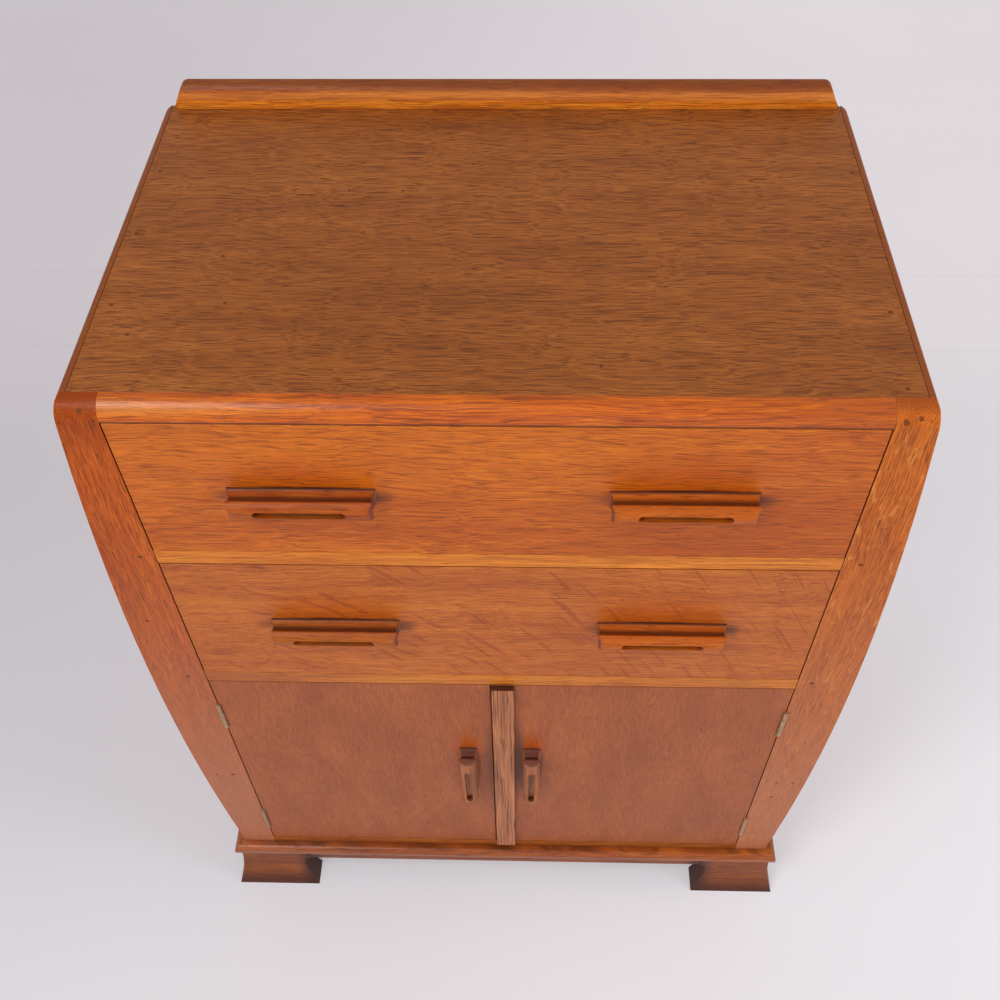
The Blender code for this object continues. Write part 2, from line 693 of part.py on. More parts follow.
def make_aprons():
    """Strips that carry the moulding between the feet."""
    half, front = plinth_face()
    z = (FOOT_HEIGHT - APRON_HEIGHT, FOOT_HEIGHT)
    inner = half - FOOT_LENGTH - GAP
    board("apron_front", (-inner, inner), (front, front + FOOT_THICKNESS), z, PLINTH_OAK)
    y = (front + FOOT_LENGTH + GAP, REAR - FOOT_LENGTH - GAP)
    for side, hand in SIDES:
        board(f"apron_{hand}", (side * (half - FOOT_THICKNESS), side * half), y, z, PLINTH_OAK)


def pull_section():
    """A pull's section: (across it, out from the face). Its flanks are coved and its cap is a D."""
    foot = PULL_WIDTH / 2
    waist = PULL_WAIST / 2
    cap = PULL_CAP_WIDTH / 2
    crown = PULL_CAP_RADIUS
    cove = arc((foot, PULL_WAIST_DEPTH), (foot - waist, PULL_WAIST_DEPTH), 270, 180, SMALL_ARC_STEPS)
    face = arc((0.0, PULL_DEPTH - crown), (crown, crown), degrees(acos(cap / crown)), 90, NOSING_STEPS)
    right = [*cove, (cap, PULL_CAP_START), *face]
    return right + sided(right[::-1][1:], -1)


def pull_end(half, cap_inset, rounding):
    """A pull's right end: (along it, out from the face). It is coved and capped as the flanks are."""
    cove = arc((half, PULL_WAIST_DEPTH), (PULL_END_WAIST, PULL_WAIST_DEPTH), 270, 180, SMALL_ARC_STEPS)
    crown = PULL_CAP_RADIUS
    start = degrees(acos(PULL_CAP_WIDTH / 2 / crown))
    cap = half - cap_inset
    middle = cap - rounding * cos(radians(start))
    face = arc((middle, PULL_DEPTH - crown), (rounding, crown), start, 90, NOSING_STEPS)
    return [(half, -PULL_DEPTH), *cove, (cap, PULL_CAP_START), *face, (middle, 2 * PULL_DEPTH)]


def flute_mesh(centre, length, upright):
    """The stopped flute in a pull's cap: a slot with round ends."""
    radius = FLUTE_WIDTH / 2
    straight = length / 2 - radius
    end = arc((straight, 0.0), (radius, radius), -90, 90, NOSING_STEPS)
    slot = end + [(-across, -up) for across, up in end]
    if upright:
        slot = [(-up, across) for across, up in slot]
    slot = [(centre[0] + across, centre[1] + up) for across, up in slot]
    bottom = -(GAP + PULL_DEPTH - FLUTE_DEPTH)
    return outline_mesh(slot, "Y", (bottom, -2 * PULL_DEPTH))


def make_pull(name, centre, upright, carrier):
    """A pull on a front or door, centred on (x, z) and standing out from the face."""
    section = pull_section()
    beyond = DRAWER_PULL_LENGTH
    if upright:
        right = pull_end(DOOR_PULL_LENGTH / 2, DOOR_PULL_END_CAP, DOOR_PULL_END_ROUNDING)
        ends = right + sided(right[::-1], -1)
        plan = [(centre[0] + across, -GAP - out) for across, out in section]
        pull = add_piece(name, outline_mesh(plan, "Z", (centre[1] - beyond, centre[1] + beyond)), DOOR_OAK, carrier)
        outline = [(-GAP - out, centre[1] + along) for along, out in ends]
        keep_inside(pull, outline_mesh(outline, "X", (centre[0] - PULL_WIDTH, centre[0] + PULL_WIDTH)))
        cut(pull, flute_mesh((centre[0], centre[1] - DOOR_FLUTE_DROP), DOOR_FLUTE_LENGTH, upright))
    else:
        right = pull_end(DRAWER_PULL_LENGTH / 2, DRAWER_PULL_END_CAP, DRAWER_PULL_END_ROUNDING)
        ends = right + sided(right[::-1], -1)
        profile = [(-GAP - out, centre[1] + across) for across, out in section]
        pull = add_piece(name, outline_mesh(profile, "X", (centre[0] - beyond, centre[0] + beyond)), HONEY_OAK, carrier)
        outline = [(centre[0] + along, -GAP - out) for along, out in ends]
        keep_inside(pull, outline_mesh(outline, "Z", (centre[1] - PULL_WIDTH, centre[1] + PULL_WIDTH)))
        cut(pull, flute_mesh(centre, DRAWER_FLUTE_LENGTH, upright))
    smooth(pull)


def dovetail_edges(low, high):
    """Heights of each tail's lower and upper corner at its root, evenly spaced up the side."""
    pitch = (high - low) / DOVETAIL_COUNT
    tails = []
    for number in range(DOVETAIL_COUNT):
        middle = low + pitch * (number + 0.5)
        half = (pitch - DOVETAIL_PIN) / 2
        tails.append((middle - half, middle + half))
    return tails


def tail_outline(low, high, grow=0.0):
    """One tail seen from the side: it widens towards the drawer's face."""
    root = DRAWER_FRONT_THICKNESS + GAP
    tip = DOVETAIL_LAP + GAP
    spread = (root - tip) / DOVETAIL_SLOPE
    low -= grow
    high += grow
    return [(root, low), (tip - grow, low - spread), (tip - grow, high + spread), (root, high)]


def make_drawer(level, opening, pull_drop):
    """A drawer with lapped dovetails at its front and a bottom held in grooves."""
    slide = empty_at(f"{level}_drawer", (0.0, 0.0, opening[0]), CASE)
    low = opening[0] + GAP
    high = opening[1] - DRAWER_TOP_GAP
    side_top = high - DRAWER_SIDE_DROP
    outer = HALF_OPENING - DRAWER_SIDE_GAP
    inner = outer - DRAWER_SIDE_THICKNESS
    back = DRAWER_DEPTH
    root = DRAWER_FRONT_THICKNESS + GAP
    tails = dovetail_edges(low, side_top)

    groove_low = low + BOTTOM_GROOVE_HEIGHT
    groove = (groove_low, groove_low + DRAWER_BOTTOM_THICKNESS + 2 * GAP)
    groove_reach = inner + BOTTOM_GROOVE_DEPTH

    face = (0.0, DRAWER_FRONT_THICKNESS)
    front = board(f"{level}_drawer_front", (-outer, outer), face, (low, high), HONEY_OAK, slide)
    groove_front = DRAWER_FRONT_THICKNESS - BOTTOM_GROOVE_DEPTH
    cut(front, box_mesh((-groove_reach, groove_reach), (groove_front, 2 * RAIL_DEPTH), groove))
    for side, hand in SIDES:
        outline = [(root, low), *sum((tail_outline(*tail) for tail in tails), [])]
        outline += [(root, side_top), (back, side_top), (back, low)]
        x = (side * inner, side * outer)
        wall = add_piece(f"{level}_drawer_side_{hand}", outline_mesh(outline, "X", x), INSIDE_OAK, slide)
        cut(wall, box_mesh((0.0, side * groove_reach), (-RAIL_DEPTH, 2 * back), groove))
        for tail in tails:
            socket = tail_outline(*tail, grow=GAP)
            socket = [(root + GAP, socket[0][1]), *socket, (root + GAP, socket[3][1])]
            cut(front, outline_mesh(socket, "X", (side * (inner - GAP), side * (outer + RAIL_DEPTH))))

    within = (GAP - inner, inner - GAP)
    back_low = groove[1] + GAP
    y = (back - DRAWER_BACK_THICKNESS, back)
    board(f"{level}_drawer_back", within, y, (back_low, side_top), INSIDE_OAK, slide)
    reach = groove_reach - GAP
    z = (groove[0] + GAP, groove[1] - GAP)
    board(f"{level}_drawer_bottom", (-reach, reach), (groove_front + GAP, back), z, PLYWOOD, slide, 0.0)
    for side, hand in SIDES:
        inset = UPPER_LEFT_PULL_INSET if (level, side) == ("upper", -1) else DRAWER_PULL_INSET
        centre = (side * (HALF_OPENING - inset), opening[1] - pull_drop)
        make_pull(f"{level}_drawer_pull_{hand}", centre, False, slide)


def knuckle_spans(low, high, first):
    """The heights of every other knuckle, starting with the first or the second."""
    pitch = (high - low) / KNUCKLE_COUNT
    numbers = range(0 if first else 1, KNUCKLE_COUNT, 2)
    return [(low + pitch * n + GAP / 2, low + pitch * (n + 1) - GAP / 2) for n in numbers]


def make_leaf(name, side, span, on_case, carrier):
    """One leaf of a butt hinge. The case's leaf holds the pin, and the door's leaf turns on it."""
    low, high = span
    axis = hinge_axis(side)
    edge = HALF_OPENING if on_case else HALF_OPENING - DOOR_GAP
    outward = 1 if on_case else -1
    x = (side * edge, side * (edge + outward * LEAF_THICKNESS))
    start = axis[1] + KNUCKLE_RADIUS + GAP
    leaf = add_piece(name, box_mesh(x, (start, LEAF_WIDTH), (low, high)), BRASS, carrier)
    for knuckle in knuckle_spans(low, high, on_case):
        join(leaf, box_mesh(x, (axis[1], start + LEAF_THICKNESS), knuckle))
        join(leaf, cylinder_mesh(axis, knuckle, KNUCKLE_RADIUS))
    if on_case:
        join(leaf, cylinder_mesh(axis, (low + GAP, high - GAP), PIN_RADIUS))
    else:
        cut(leaf, cylinder_mesh(axis, (low - GAP, high + GAP), PIN_RADIUS + PIN_CLEARANCE))
    smooth(leaf)


def make_doors():
    """Two plain inset doors. The cover bead on the right one hides the joint between them."""
    low = CUPBOARD_FLOOR + DOOR_GAP
    high = LOWER_RAIL_BOTTOM - DOOR_GAP
    pull_height = (low + high) / 2 + DOOR_PULL_ABOVE_MIDDLE
    meeting = {-1: MEETING_OFFSET - MEETING_GAP / 2, 1: MEETING_OFFSET + MEETING_GAP / 2}
    insets = {-1: LEFT_DOOR_PULL_INSET, 1: RIGHT_DOOR_PULL_INSET}
    for side, hand in SIDES:
        axis = hinge_axis(side)
        hinge = empty_at(f"{hand}_door_hinge", (axis[0], axis[1], low), CASE)
        edge = side * (HALF_OPENING - DOOR_GAP)
        x = (meeting[side], edge)
        door = board(f"{hand}_door", x, (0.0, DOOR_THICKNESS), (low, high), DOOR_OAK, hinge)
        cut_hinge_seats(door, side, edge)
        centre = (meeting[side] + side * insets[side], pull_height)
        make_pull(f"{hand}_door_pull", centre, True, hinge)
        for place, span in hinge_spans().items():
            make_leaf(f"{hand}_{place}_hinge_frame_leaf", side, span, True, CASE)
            make_leaf(f"{hand}_{place}_hinge_door_leaf", side, span, False, hinge)
        if side == 1:
            x = (meeting[side], meeting[side] + BEAD_WIDTH)
            y = (-GAP - BEAD_THICKNESS, -GAP)
            bead = board("cover_bead", x, y, (low, high), BEAD_OAK, hinge, edge=0.0)
            ease_edges(bead, BEAD_ROUNDING, SMALL_ARC_STEPS)


clear_scene()
PARTS = collection_named("tallboy")
CUTTERS = collection_named("cutters")
CASE = empty_at("case", (0.0, FACE_Y, 0.0))
bpy.context.view_layer.update()

make_stiles()
make_side_panels()
make_top()
make_rails()
make_bottom_and_back()
make_runners()
make_shelf()
make_plinth_moulding()
make_feet()
make_aprons()
make_drawer("upper", (MIDDLE_RAIL_TOP, TOP_UNDERSIDE), UPPER_PULL_DROP)
make_drawer("lower", (LOWER_RAIL_TOP, MIDDLE_RAIL_BOTTOM), LOWER_PULL_DROP)
make_doors()
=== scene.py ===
"""Oak tallboy, dressed: wood finishes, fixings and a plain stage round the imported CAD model.

Lengths are in metres and +Z is up, as in the CAD model. The front faces -Y. Textures are worked
out in millimetres of real wood, from the CAD model's own coordinates.
"""

import random
from math import asin, cos, pi, radians, sin

import bmesh
import bpy
from mathutils import Matrix, Vector


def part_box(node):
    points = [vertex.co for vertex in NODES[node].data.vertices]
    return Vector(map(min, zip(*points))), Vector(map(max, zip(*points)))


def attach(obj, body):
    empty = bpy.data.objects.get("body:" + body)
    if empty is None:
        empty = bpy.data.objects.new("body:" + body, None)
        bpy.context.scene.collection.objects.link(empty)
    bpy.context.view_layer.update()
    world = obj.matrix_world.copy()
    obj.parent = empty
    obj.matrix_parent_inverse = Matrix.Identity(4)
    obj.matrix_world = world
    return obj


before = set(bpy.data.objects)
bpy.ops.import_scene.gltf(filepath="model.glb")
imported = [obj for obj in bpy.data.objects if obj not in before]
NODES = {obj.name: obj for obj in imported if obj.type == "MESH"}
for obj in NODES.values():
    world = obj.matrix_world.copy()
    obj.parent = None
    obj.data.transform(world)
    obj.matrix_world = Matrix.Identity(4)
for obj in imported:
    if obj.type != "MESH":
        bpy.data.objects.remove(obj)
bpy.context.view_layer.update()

bl_info = {
    "name": "Oak tallboy",
    "version": (1, 0, 0),
    "blender": (4, 5, 0),
    "location": "View3D > Sidebar > Tallboy",
    "description": "Finishes, fixings and a stage for a packed oak tallboy",
    "category": "Object",
}

X = Vector((1, 0, 0))
Y = Vector((0, 1, 0))
Z = Vector((0, 0, 1))
NONE = Vector((0, 0, 0))
MM = 0.001
# A radius in millimetres that takes in the whole piece.
FAR = 1e5
SIDES = ((-1, "left"), (1, "right"))
# As in the CAD model.
HALF_OPENING = 0.320
DOOR_GAP = 0.001
NOSING_RADIUS = 0.017
# How far a noise rises above its threshold before a mark is fully drawn: more is softer.
RAY_EDGE = 0.13
STROKE_EDGE = 0.07
PORE_EDGE = 0.055
# The camera, solved from the photograph. Its focal length is a share of the picture's width.
CAMERA_PLACE = (0.02875, -0.8250, 1.60515)
CAMERA_YAW = radians(2.26)
CAMERA_PITCH = radians(50.59)
CAMERA_ROLL = radians(-1.18)
CAMERA_FOCAL = 1.1133
# The soft lamps: name, place, what they aim at, width and height, and watts.
LAMPS = (
    ("window", (-1.4, -1.63, 3.25), (-0.1, -0.2, 0.95), (1.1, 1.1), 46.0),
    ("front_fill", (0.3, -3.6, 1.35), (0.0, -0.2, 0.6), (2.4, 1.6), 38.0),
    ("softbox", (2.3, -0.5, 2.2), (0.0, 0.0, 0.5), (1.6, 1.6), 28.0),
)
ROOM_LIGHT = 0.42
# Filled holes, in millimetres: (x, height) on the stiles' faces, and (x, y) on the top.
STILE_HOLES = (
    (-333.4, 962.3), (-334.3, 769.2), (-356.2, 659.7), (-339.6, 550.3), (-358.6, 309.3),
    (-338.2, 310.0), (328.1, 958.4), (339.4, 961.4), (336.5, 769.3), (335.1, 553.9),
    (340.5, 310.8), (360.7, 311.5), (341.4, 270.3),
)
TOP_HOLES = (
    (-335.2, -88.0), (-335.9, 111.0), (-335.7, 12.1), (-312.2, -125.6),
    (339.0, 110.6), (336.1, -91.5), (240.2, 97.0), (331.7, -184.0),
)
DRAWERS = ("upper", "lower")
# The drawer pulls were cut from unlike offcuts, so each has a cast of its own, by some amount.
PULL_CASTS = {
    "upper_drawer_pull_left": ("left_stile_dark", 0.3),
    "upper_drawer_pull_right": ("upper_drawer_body", 0.5),
    "lower_drawer_pull_left": ("top_body", 0.4),
    "lower_drawer_pull_right": ("upper_drawer_body", 0.4),
}
# Planed wood that never had a finish.
BARE = dict(roughness=0.62, coat=0.0, specular=0.3, ends=("end_grain", 0.15), dirt_and_corner_shade=0.4)
# Screws: from a pull's middle to each of its two, and between the three of a hinge leaf.
PULL_SCREW_REACH = 45 * MM
LEAF_SCREW_PITCH = 17 * MM


def linear(code):
    """An sRGB hex colour as linear red, green and blue."""
    parts = [int(code[i : i + 2], 16) / 255 for i in (1, 3, 5)]
    return tuple(p / 12.92 if p <= 0.04045 else ((p + 0.055) / 1.055) ** 2.4 for p in parts)


def tint(name, description, code):
    """A colour property that starts from an sRGB hex value."""
    return bpy.props.FloatVectorProperty(
        name=name, description=description, subtype="COLOR", size=3, min=0.0, max=1.0, default=linear(code)
    )


def length(name, description, millimetres):
    """A length property whose default is given in millimetres."""
    return bpy.props.FloatProperty(
        name=name, description=description, unit="LENGTH", min=0.0, default=millimetres * MM
    )


class TallboySizes(bpy.types.PropertyGroup):
    """Sizes of what is added to the CAD model."""

    edge: length("Eased edges", "Radius that sandpaper and polish leave on every edge", 0.25)
    plug: length("Filled holes", "Diameter of the filled nail and screw holes", 5.0)
    plug_rise: length("Filler rise", "How far the filler stands out of the wood", 0.06)
    screw_head: length("Screw head", "Diameter of the slotted screws", 5.2)
    leaf_screw_head: length("Hinge screw head", "Diameter of the hinges' screws", 4.2)
    pin_head: length("Pin head", "Diameter of the back panel's pins", 3.6)
    pin_pitch: length("Pin spacing", "Distance between the back panel's pins", 110.0)
    floor: length("Floor", "Width and depth of the floor", 9000.0)
    joint: length("Floor joint", "How far the first joint in the floor lies behind the middle", 906.0)
    board: length("Floorboard", "Distance between the two joints", 242.0)


# Each wood: its label, what it covers, and its light, main and dark colour.
WOODS = {
    "top": ("Top", "the top", "#B36929", "#9B551D", "#783C0F"),
    "upper_drawer": ("Upper drawer", "the upper drawer front", "#D47411", "#BA590B", "#9B4106"),
    "lower_drawer": ("Lower drawer", "the lower drawer front", "#CB7323", "#B35C1B", "#93400F"),
    "rail": ("Rails", "the rails and the gallery", "#E08828", "#CC7219", "#A95010"),
    "nosing": ("Nosing", "the rounded front rail", "#DB6F04", "#C25902", "#903A01"),
    "left_stile": ("Left stile", "the left stile", "#CE6812", "#B34E09", "#8B3504"),
    "right_stile": ("Right stile", "the right stile and the sides", "#CF7122", "#B75B17", "#92420D"),
    "door": ("Doors", "the doors", "#B2622C", "#994E24", "#803B19"),
    "bead": ("Bead", "the cover bead", "#C27C4D", "#AA653B", "#6B351E"),
    "pull": ("Drawer pulls", "the drawer pulls", "#C46A24", "#A65018", "#7E380E"),
    "door_pull": ("Door pulls", "the door pulls", "#B8703C", "#9A5630", "#70381C"),
    "plinth": ("Plinth", "the plinth and feet", "#A0551A", "#843F10", "#5E2908"),
    "inside": ("Inside", "the bare oak inside", "#D9AE7C", "#C4925E", "#A97545"),
    "ply": ("Plywood", "the plywood", "#D6A474", "#C28E5E", "#A6754A"),
}
TONES = (("light", "Lightest streaks"), ("body", "Main colour"), ("dark", "Darkest bands"))


class TallboyColours(bpy.types.PropertyGroup):
    """Colours of the woods, the metal and the stage."""

    rubbed: tint("Rubbed finish", "Wood rubbed to a deep orange by fingers", "#B04A0A")
    # This colour is also a painted sheen: the pale floor reflected low on the stiles and sides, and on the
    # moulding's left end.
    bleached_and_sheen: tint("Bleached finish", "Wood faded to a pinkish brown by light and cleaning", "#A76B4F")
    # This colour also paints the highlight on the front rail's left end.
    wear_and_highlight: tint("Worn patch", "Where the polish is worn through to pale oak", "#DC9440")
    end_grain: tint("End grain", "Ends of boards, which drink more polish", "#70443A")
    # The pores' colour also paints the shade on what looks up.
    pore: tint("Pores", "Old wax and dust in the oak's open pores", "#4A200C")
    ray: tint("Rays", "The oak's medullary rays, seen broadside", "#D88A40")
    flute: tint("Flutes", "Bare olive-brown wood in the pulls' flutes", "#A8763A")
    # This colour is also the painted shade in corners, recesses and valleys, and the painted shadows beside
    # the pulls, the bead and the feet.
    dirt_and_shade: tint("Dirt", "Old polish and dust left in the corners", "#3A170B")
    brass: tint("Brass", "Tarnished brass", "#C8A682")
    steel: tint("Steel", "Old steel screws and pins", "#77706A")
    filler: tint("Filler", "Dark wax over the screw and nail holes", "#5A3016")
    floor: tint("Floor", "Painted floor", "#FBFAFC")
    beyond: tint("Backdrop", "The far end of the floor and the backdrop", "#DFD8DC")
    beyond_left: tint("Backdrop, left", "The backdrop on its darker side", "#C9C2C7")
    light: tint("Light", "Colour of the soft light", "#FBFCFF")


for finish, (label, covers, *codes) in WOODS.items():
    for (tone, share), code in zip(TONES, codes):
        TallboyColours.__annotations__[f"{finish}_{tone}"] = tint(
            f"{label}, {tone}", f"{share} of {covers}", code
        )


def add_node(material, kind, inputs=None, **settings):
    """Adds a shader node. Inputs are values, sockets to link, or nodes whose first output is linked."""
    tree = material.node_tree
    made = tree.nodes.new("ShaderNode" + kind)
    for name, value in settings.items():
        setattr(made, name, value)
    for key, value in (inputs or {}).items():
        socket = made.inputs[key]
        if isinstance(value, bpy.types.Node):
            value = next(output for output in value.outputs if output.enabled)
        if isinstance(value, bpy.types.NodeSocket):
            tree.links.new(value, socket)
        else:
            socket.default_value = value
    return made


def new_material(name):
    """An empty material to which nodes are added."""
    material = bpy.data.materials.new(name)
    material.use_nodes = True
    material.node_tree.nodes.clear()
    return material


def finish_material(material, shader):
    """Puts the shader on the surface."""
    add_node(material, "OutputMaterial", {"Surface": shader})
    return material


def rgba(colour):
    """A linear colour with full alpha, as sockets take it."""
    return (*colour[:3], 1.0)


def per(*lengths):
    """How often each length repeats in a unit, by which a pattern is scaled."""
    return tuple(1 / length for length in lengths)


def tones(colours, finish, dim):
    """The dark, main and light colour of one wood, darker where dim is below 1."""
    wood = [getattr(colours, f"{finish}_{tone}") for tone in ("dark", "body", "light")]
    return [rgba([dim * part for part in shade]) for shade in wood]


def marked(material, colour, source, start, end, amounts, shade):
    """Lays a shade over a colour, and gives the new colour and the shade's amount.

    The amount goes softly from the first to the second of amounts as source goes from start to end.
    """
    first, last = amounts
    amount = add_node(
        material, "MapRange",
        {"Value": source, "From Min": start, "From Max": end, "To Min": first, "To Max": last},
        interpolation_type="SMOOTHSTEP",
    )
    mixed = add_node(material, "Mix", {0: amount, 6: colour, 7: shade}, data_type="RGBA")
    return mixed.outputs[2], amount


def washed(material, mm, colour, colours, washes):
    """Mixes soft patches into a colour. Each has a centre, three radii, a colour and an amount."""
    for centre, radii, shade, amount in washes:
        offset = add_node(material, "VectorMath", {0: mm, 1: centre}, operation="SUBTRACT")
        offset = add_node(material, "VectorMath", {0: offset, 1: per(*radii)}, operation="MULTIPLY")
        away = add_node(material, "VectorMath", {0: offset}, operation="LENGTH").outputs["Value"]
        patch = rgba(getattr(colours, shade))
        colour, _ = marked(material, colour, away, 0.15, 1.0, (amount, 0.0), patch)
    return colour


def oak(
    name,
    colours,
    finish,
    grain,
    pith=(400.0, 500.0),
    waver=2.5,
    broad=(380.0, 45.0, 0.5),
    rings=(3.2, 0.2),
    fibre=(70.0, 1.8, 0.5),
    pores=(14.0, 2.2, 0.56, 0.5),
    strokes=None,
    rays=None,
    spots=0.0,
    washes=(),
    films=(),
    roughness=0.44,
    coat=0.08,
    specular=0.22,
    relief=0.12,
    ends=("end_grain", 0.5),
    crown=0.0,
    dirt_and_corner_shade=0.55,
    wear=0.5,
    dim=1.0,
):
    """Oak as a solid texture, in millimetres of real wood.

    grain is the directions along, across and through the board. pith is where the tree's middle
    runs, as (across, through): close by it gives cathedral figure, and far off in the board's own
    plane it gives quarter-sawn stripes. waver is how far the grain wanders. broad streaks and
    fibre are (length, width, contrast), and rings are (width, contrast). pores and rays are
    (length, width, threshold, amount). strokes are the same after (lean, bend, start along the
    board). spots and wear are amounts of specks and of pale edges. crown is an amount of painted
    shade on what looks up, and dirt_and_corner_shade one of dirt and painted shade in corners,
    gaps and recesses. washes lie under the grain's lines and films over them; some of them paint
    light, shade or reflections. ends is the end grain's colour and amount, and dim makes the whole
    wood darker or lighter.
    """
    along, across, through = grain
    material = new_material(name)
    place = add_node(material, "TexCoord")
    mm = add_node(material, "VectorMath", {0: place.outputs["Object"], "Scale": 1 / MM}, operation="SCALE")

    # A board's grain wanders by a few millimetres over a hand's length.
    slow = add_node(material, "VectorMath", {0: mm, "Scale": 1 / 110.0}, operation="SCALE")
    drift = add_node(material, "TexNoise", {"Vector": slow, "Scale": 1.0, "Detail": 2.0})
    centred = add_node(
        material, "VectorMath", {0: drift.outputs["Color"], 1: (0.5, 0.5, 0.5)}, operation="SUBTRACT"
    )
    sway = add_node(material, "VectorMath", {0: centred, "Scale": 4.0 * waver}, operation="SCALE")
    swayed = add_node(material, "VectorMath", {0: mm, 1: sway}, operation="ADD")

    # The wood's own directions: along the board, out from the pith and round it.
    down = add_node(material, "VectorMath", {0: mm, 1: along}, operation="DOT_PRODUCT").outputs["Value"]
    side = add_node(
        material, "VectorMath", {0: swayed, 1: across}, operation="DOT_PRODUCT"
    ).outputs["Value"]
    deep = add_node(
        material, "VectorMath", {0: swayed, 1: through}, operation="DOT_PRODUCT"
    ).outputs["Value"]
    from_pith = add_node(material, "Math", {0: side, 1: pith[0]}, operation="SUBTRACT")
    deep = add_node(material, "Math", {0: deep, 1: pith[1]}, operation="SUBTRACT")
    spoke = add_node(material, "CombineXYZ", {"X": from_pith, "Y": deep})
    radius = add_node(material, "VectorMath", {0: spoke}, operation="LENGTH").outputs["Value"]
    angle = add_node(material, "Math", {0: from_pith, 1: deep}, operation="ARCTAN2")
    reach = max(40.0, (pith[0] ** 2 + pith[1] ** 2) ** 0.5)
    round_ = add_node(material, "Math", {0: angle, 1: reach}, operation="MULTIPLY")
    wood = add_node(material, "CombineXYZ", {"X": down, "Y": radius, "Z": round_})

    # Broad streaks of lighter and darker wood.
    stretch = add_node(
        material, "VectorMath", {0: wood, 1: per(broad[0], broad[1], broad[1])}, operation="MULTIPLY"
    )
    streaks = add_node(
        material, "TexNoise", {"Vector": stretch, "Scale": 1.0, "Detail": 3.0, "Roughness": 0.6}
    )
    # Growth rings: pale porous spring wood that darkens to dense summer wood.
    year = add_node(material, "Math", {0: radius, 1: 1 / rings[0]}, operation="MULTIPLY")
    uneven = add_node(material, "Math", {0: streaks, 1: 3.0, 2: year}, operation="MULTIPLY_ADD")
    season = add_node(material, "Math", {0: uneven}, operation="FRACT")
    spring = add_node(
        material, "MapRange",
        {"Value": season, "From Min": 0.0, "From Max": 0.45, "To Min": 1.0, "To Max": 0.0},
        interpolation_type="SMOOTHSTEP",
    )
    # Fibres: silky lines along the grain. Real ones are about 0.25 mm wide. They are drawn three to
    # seven times as wide, to show.
    thread = add_node(
        material, "VectorMath", {0: wood, 1: per(fibre[0], fibre[1], fibre[1])}, operation="MULTIPLY"
    )
    fibres = add_node(
        material, "TexNoise", {"Vector": thread, "Scale": 1.0, "Detail": 2.0, "Roughness": 0.5}
    )

    middle = 0.5 - 1.8 * (broad[2] + fibre[2]) - 0.4 * rings[1]
    tone = add_node(material, "Math", {0: streaks, 1: 3.6 * broad[2], 2: middle}, operation="MULTIPLY_ADD")
    tone = add_node(material, "Math", {0: spring, 1: rings[1], 2: tone}, operation="MULTIPLY_ADD")
    tone = add_node(material, "Math", {0: fibres, 1: 3.6 * fibre[2], 2: tone}, operation="MULTIPLY_ADD")
    ramp = add_node(material, "ValToRGB", {"Fac": tone})
    dark, body, light = tones(colours, finish, dim)
    ramp.color_ramp.elements[0].color = dark
    ramp.color_ramp.elements[1].color = light
    ramp.color_ramp.elements.new(0.5).color = body
    colour = ramp.outputs["Color"]

    # Places that are rubbed, worn or dirty, and painted light and shade, with the grain showing through.
    colour = washed(material, mm, colour, colours, washes)

    # Rays seen broadside: pale silky flecks that cross the grain, in clusters, 30 mm deep.
    if rays:
        ray_along, ray_across, threshold, amount = rays
        plate = add_node(
            material, "VectorMath", {0: wood, 1: per(ray_along, ray_across, 30.0)}, operation="MULTIPLY"
        )
        flecks = add_node(
            material, "TexNoise", {"Vector": plate, "Scale": 1.0, "Detail": 1.5, "Distortion": 1.1}
        )
        clustered = add_node(
            material, "Math", {0: drift.outputs["Fac"], 1: 0.25, 2: -0.125}, operation="MULTIPLY_ADD"
        )
        clustered = add_node(material, "Math", {0: flecks, 1: clustered}, operation="ADD")
        colour, _ = marked(
            material, colour, clustered, threshold, threshold + RAY_EDGE, (0.0, amount), rgba(colours.ray)
        )

    # Thin dark lines that lean across the grain, and lean more towards one end of the board.
    if strokes:
        lean, bend, start, stroke_along, stroke_across, threshold, amount = strokes
        from_start = add_node(material, "Math", {0: down, 1: start}, operation="SUBTRACT")
        squared = add_node(material, "Math", {0: from_start, 1: 2.0}, operation="POWER")
        leaning = add_node(material, "Math", {0: down, 1: lean, 2: side}, operation="MULTIPLY_ADD")
        leaning = add_node(
            material, "Math", {0: squared, 1: bend / 2, 2: leaning}, operation="MULTIPLY_ADD"
        )
        drawn = add_node(material, "CombineXYZ", {"X": down, "Y": leaning})
        drawn = add_node(
            material, "VectorMath",
            {0: drawn, 1: per(stroke_along, stroke_across, 1.0)},
            operation="MULTIPLY",
        )
        lines = add_node(
            material, "TexNoise", {"Vector": drawn, "Scale": 1.0, "Detail": 1.0, "Distortion": 0.5}
        )
        colour, _ = marked(
            material, colour, lines, threshold, threshold + STROKE_EDGE, (0.0, amount), dark
        )

    # Open pores: short dark dashes filled with old wax, most of them in the spring wood. Real
    # ones are 0.3 mm wide. They are drawn three to seven times as wide, to show.
    pore_along, pore_across, threshold, amount = pores
    stroke = add_node(
        material, "VectorMath",
        {0: wood, 1: per(pore_along, pore_across, pore_across)},
        operation="MULTIPLY",
    )
    dashes = add_node(material, "TexNoise", {"Vector": stroke, "Scale": 1.0, "Detail": 1.0})
    open_ = add_node(material, "Math", {0: spring, 1: 0.04, 2: dashes}, operation="MULTIPLY_ADD")
    colour, pore = marked(
        material, colour, open_, threshold, threshold + PORE_EDGE, (0.0, amount), rgba(colours.pore)
    )

    # Small dark specks of old damage under the polish, about 55 mm apart.
    if spots:
        cells = add_node(material, "TexVoronoi", {"Vector": mm, "Scale": 1 / 55.0, "Randomness": 1.0})
        colour, _ = marked(
            material, colour, cells.outputs["Distance"], 0.018, 0.045, (spots, 0.0), rgba(colours.dirt_and_shade)
        )

    surface = add_node(material, "NewGeometry")
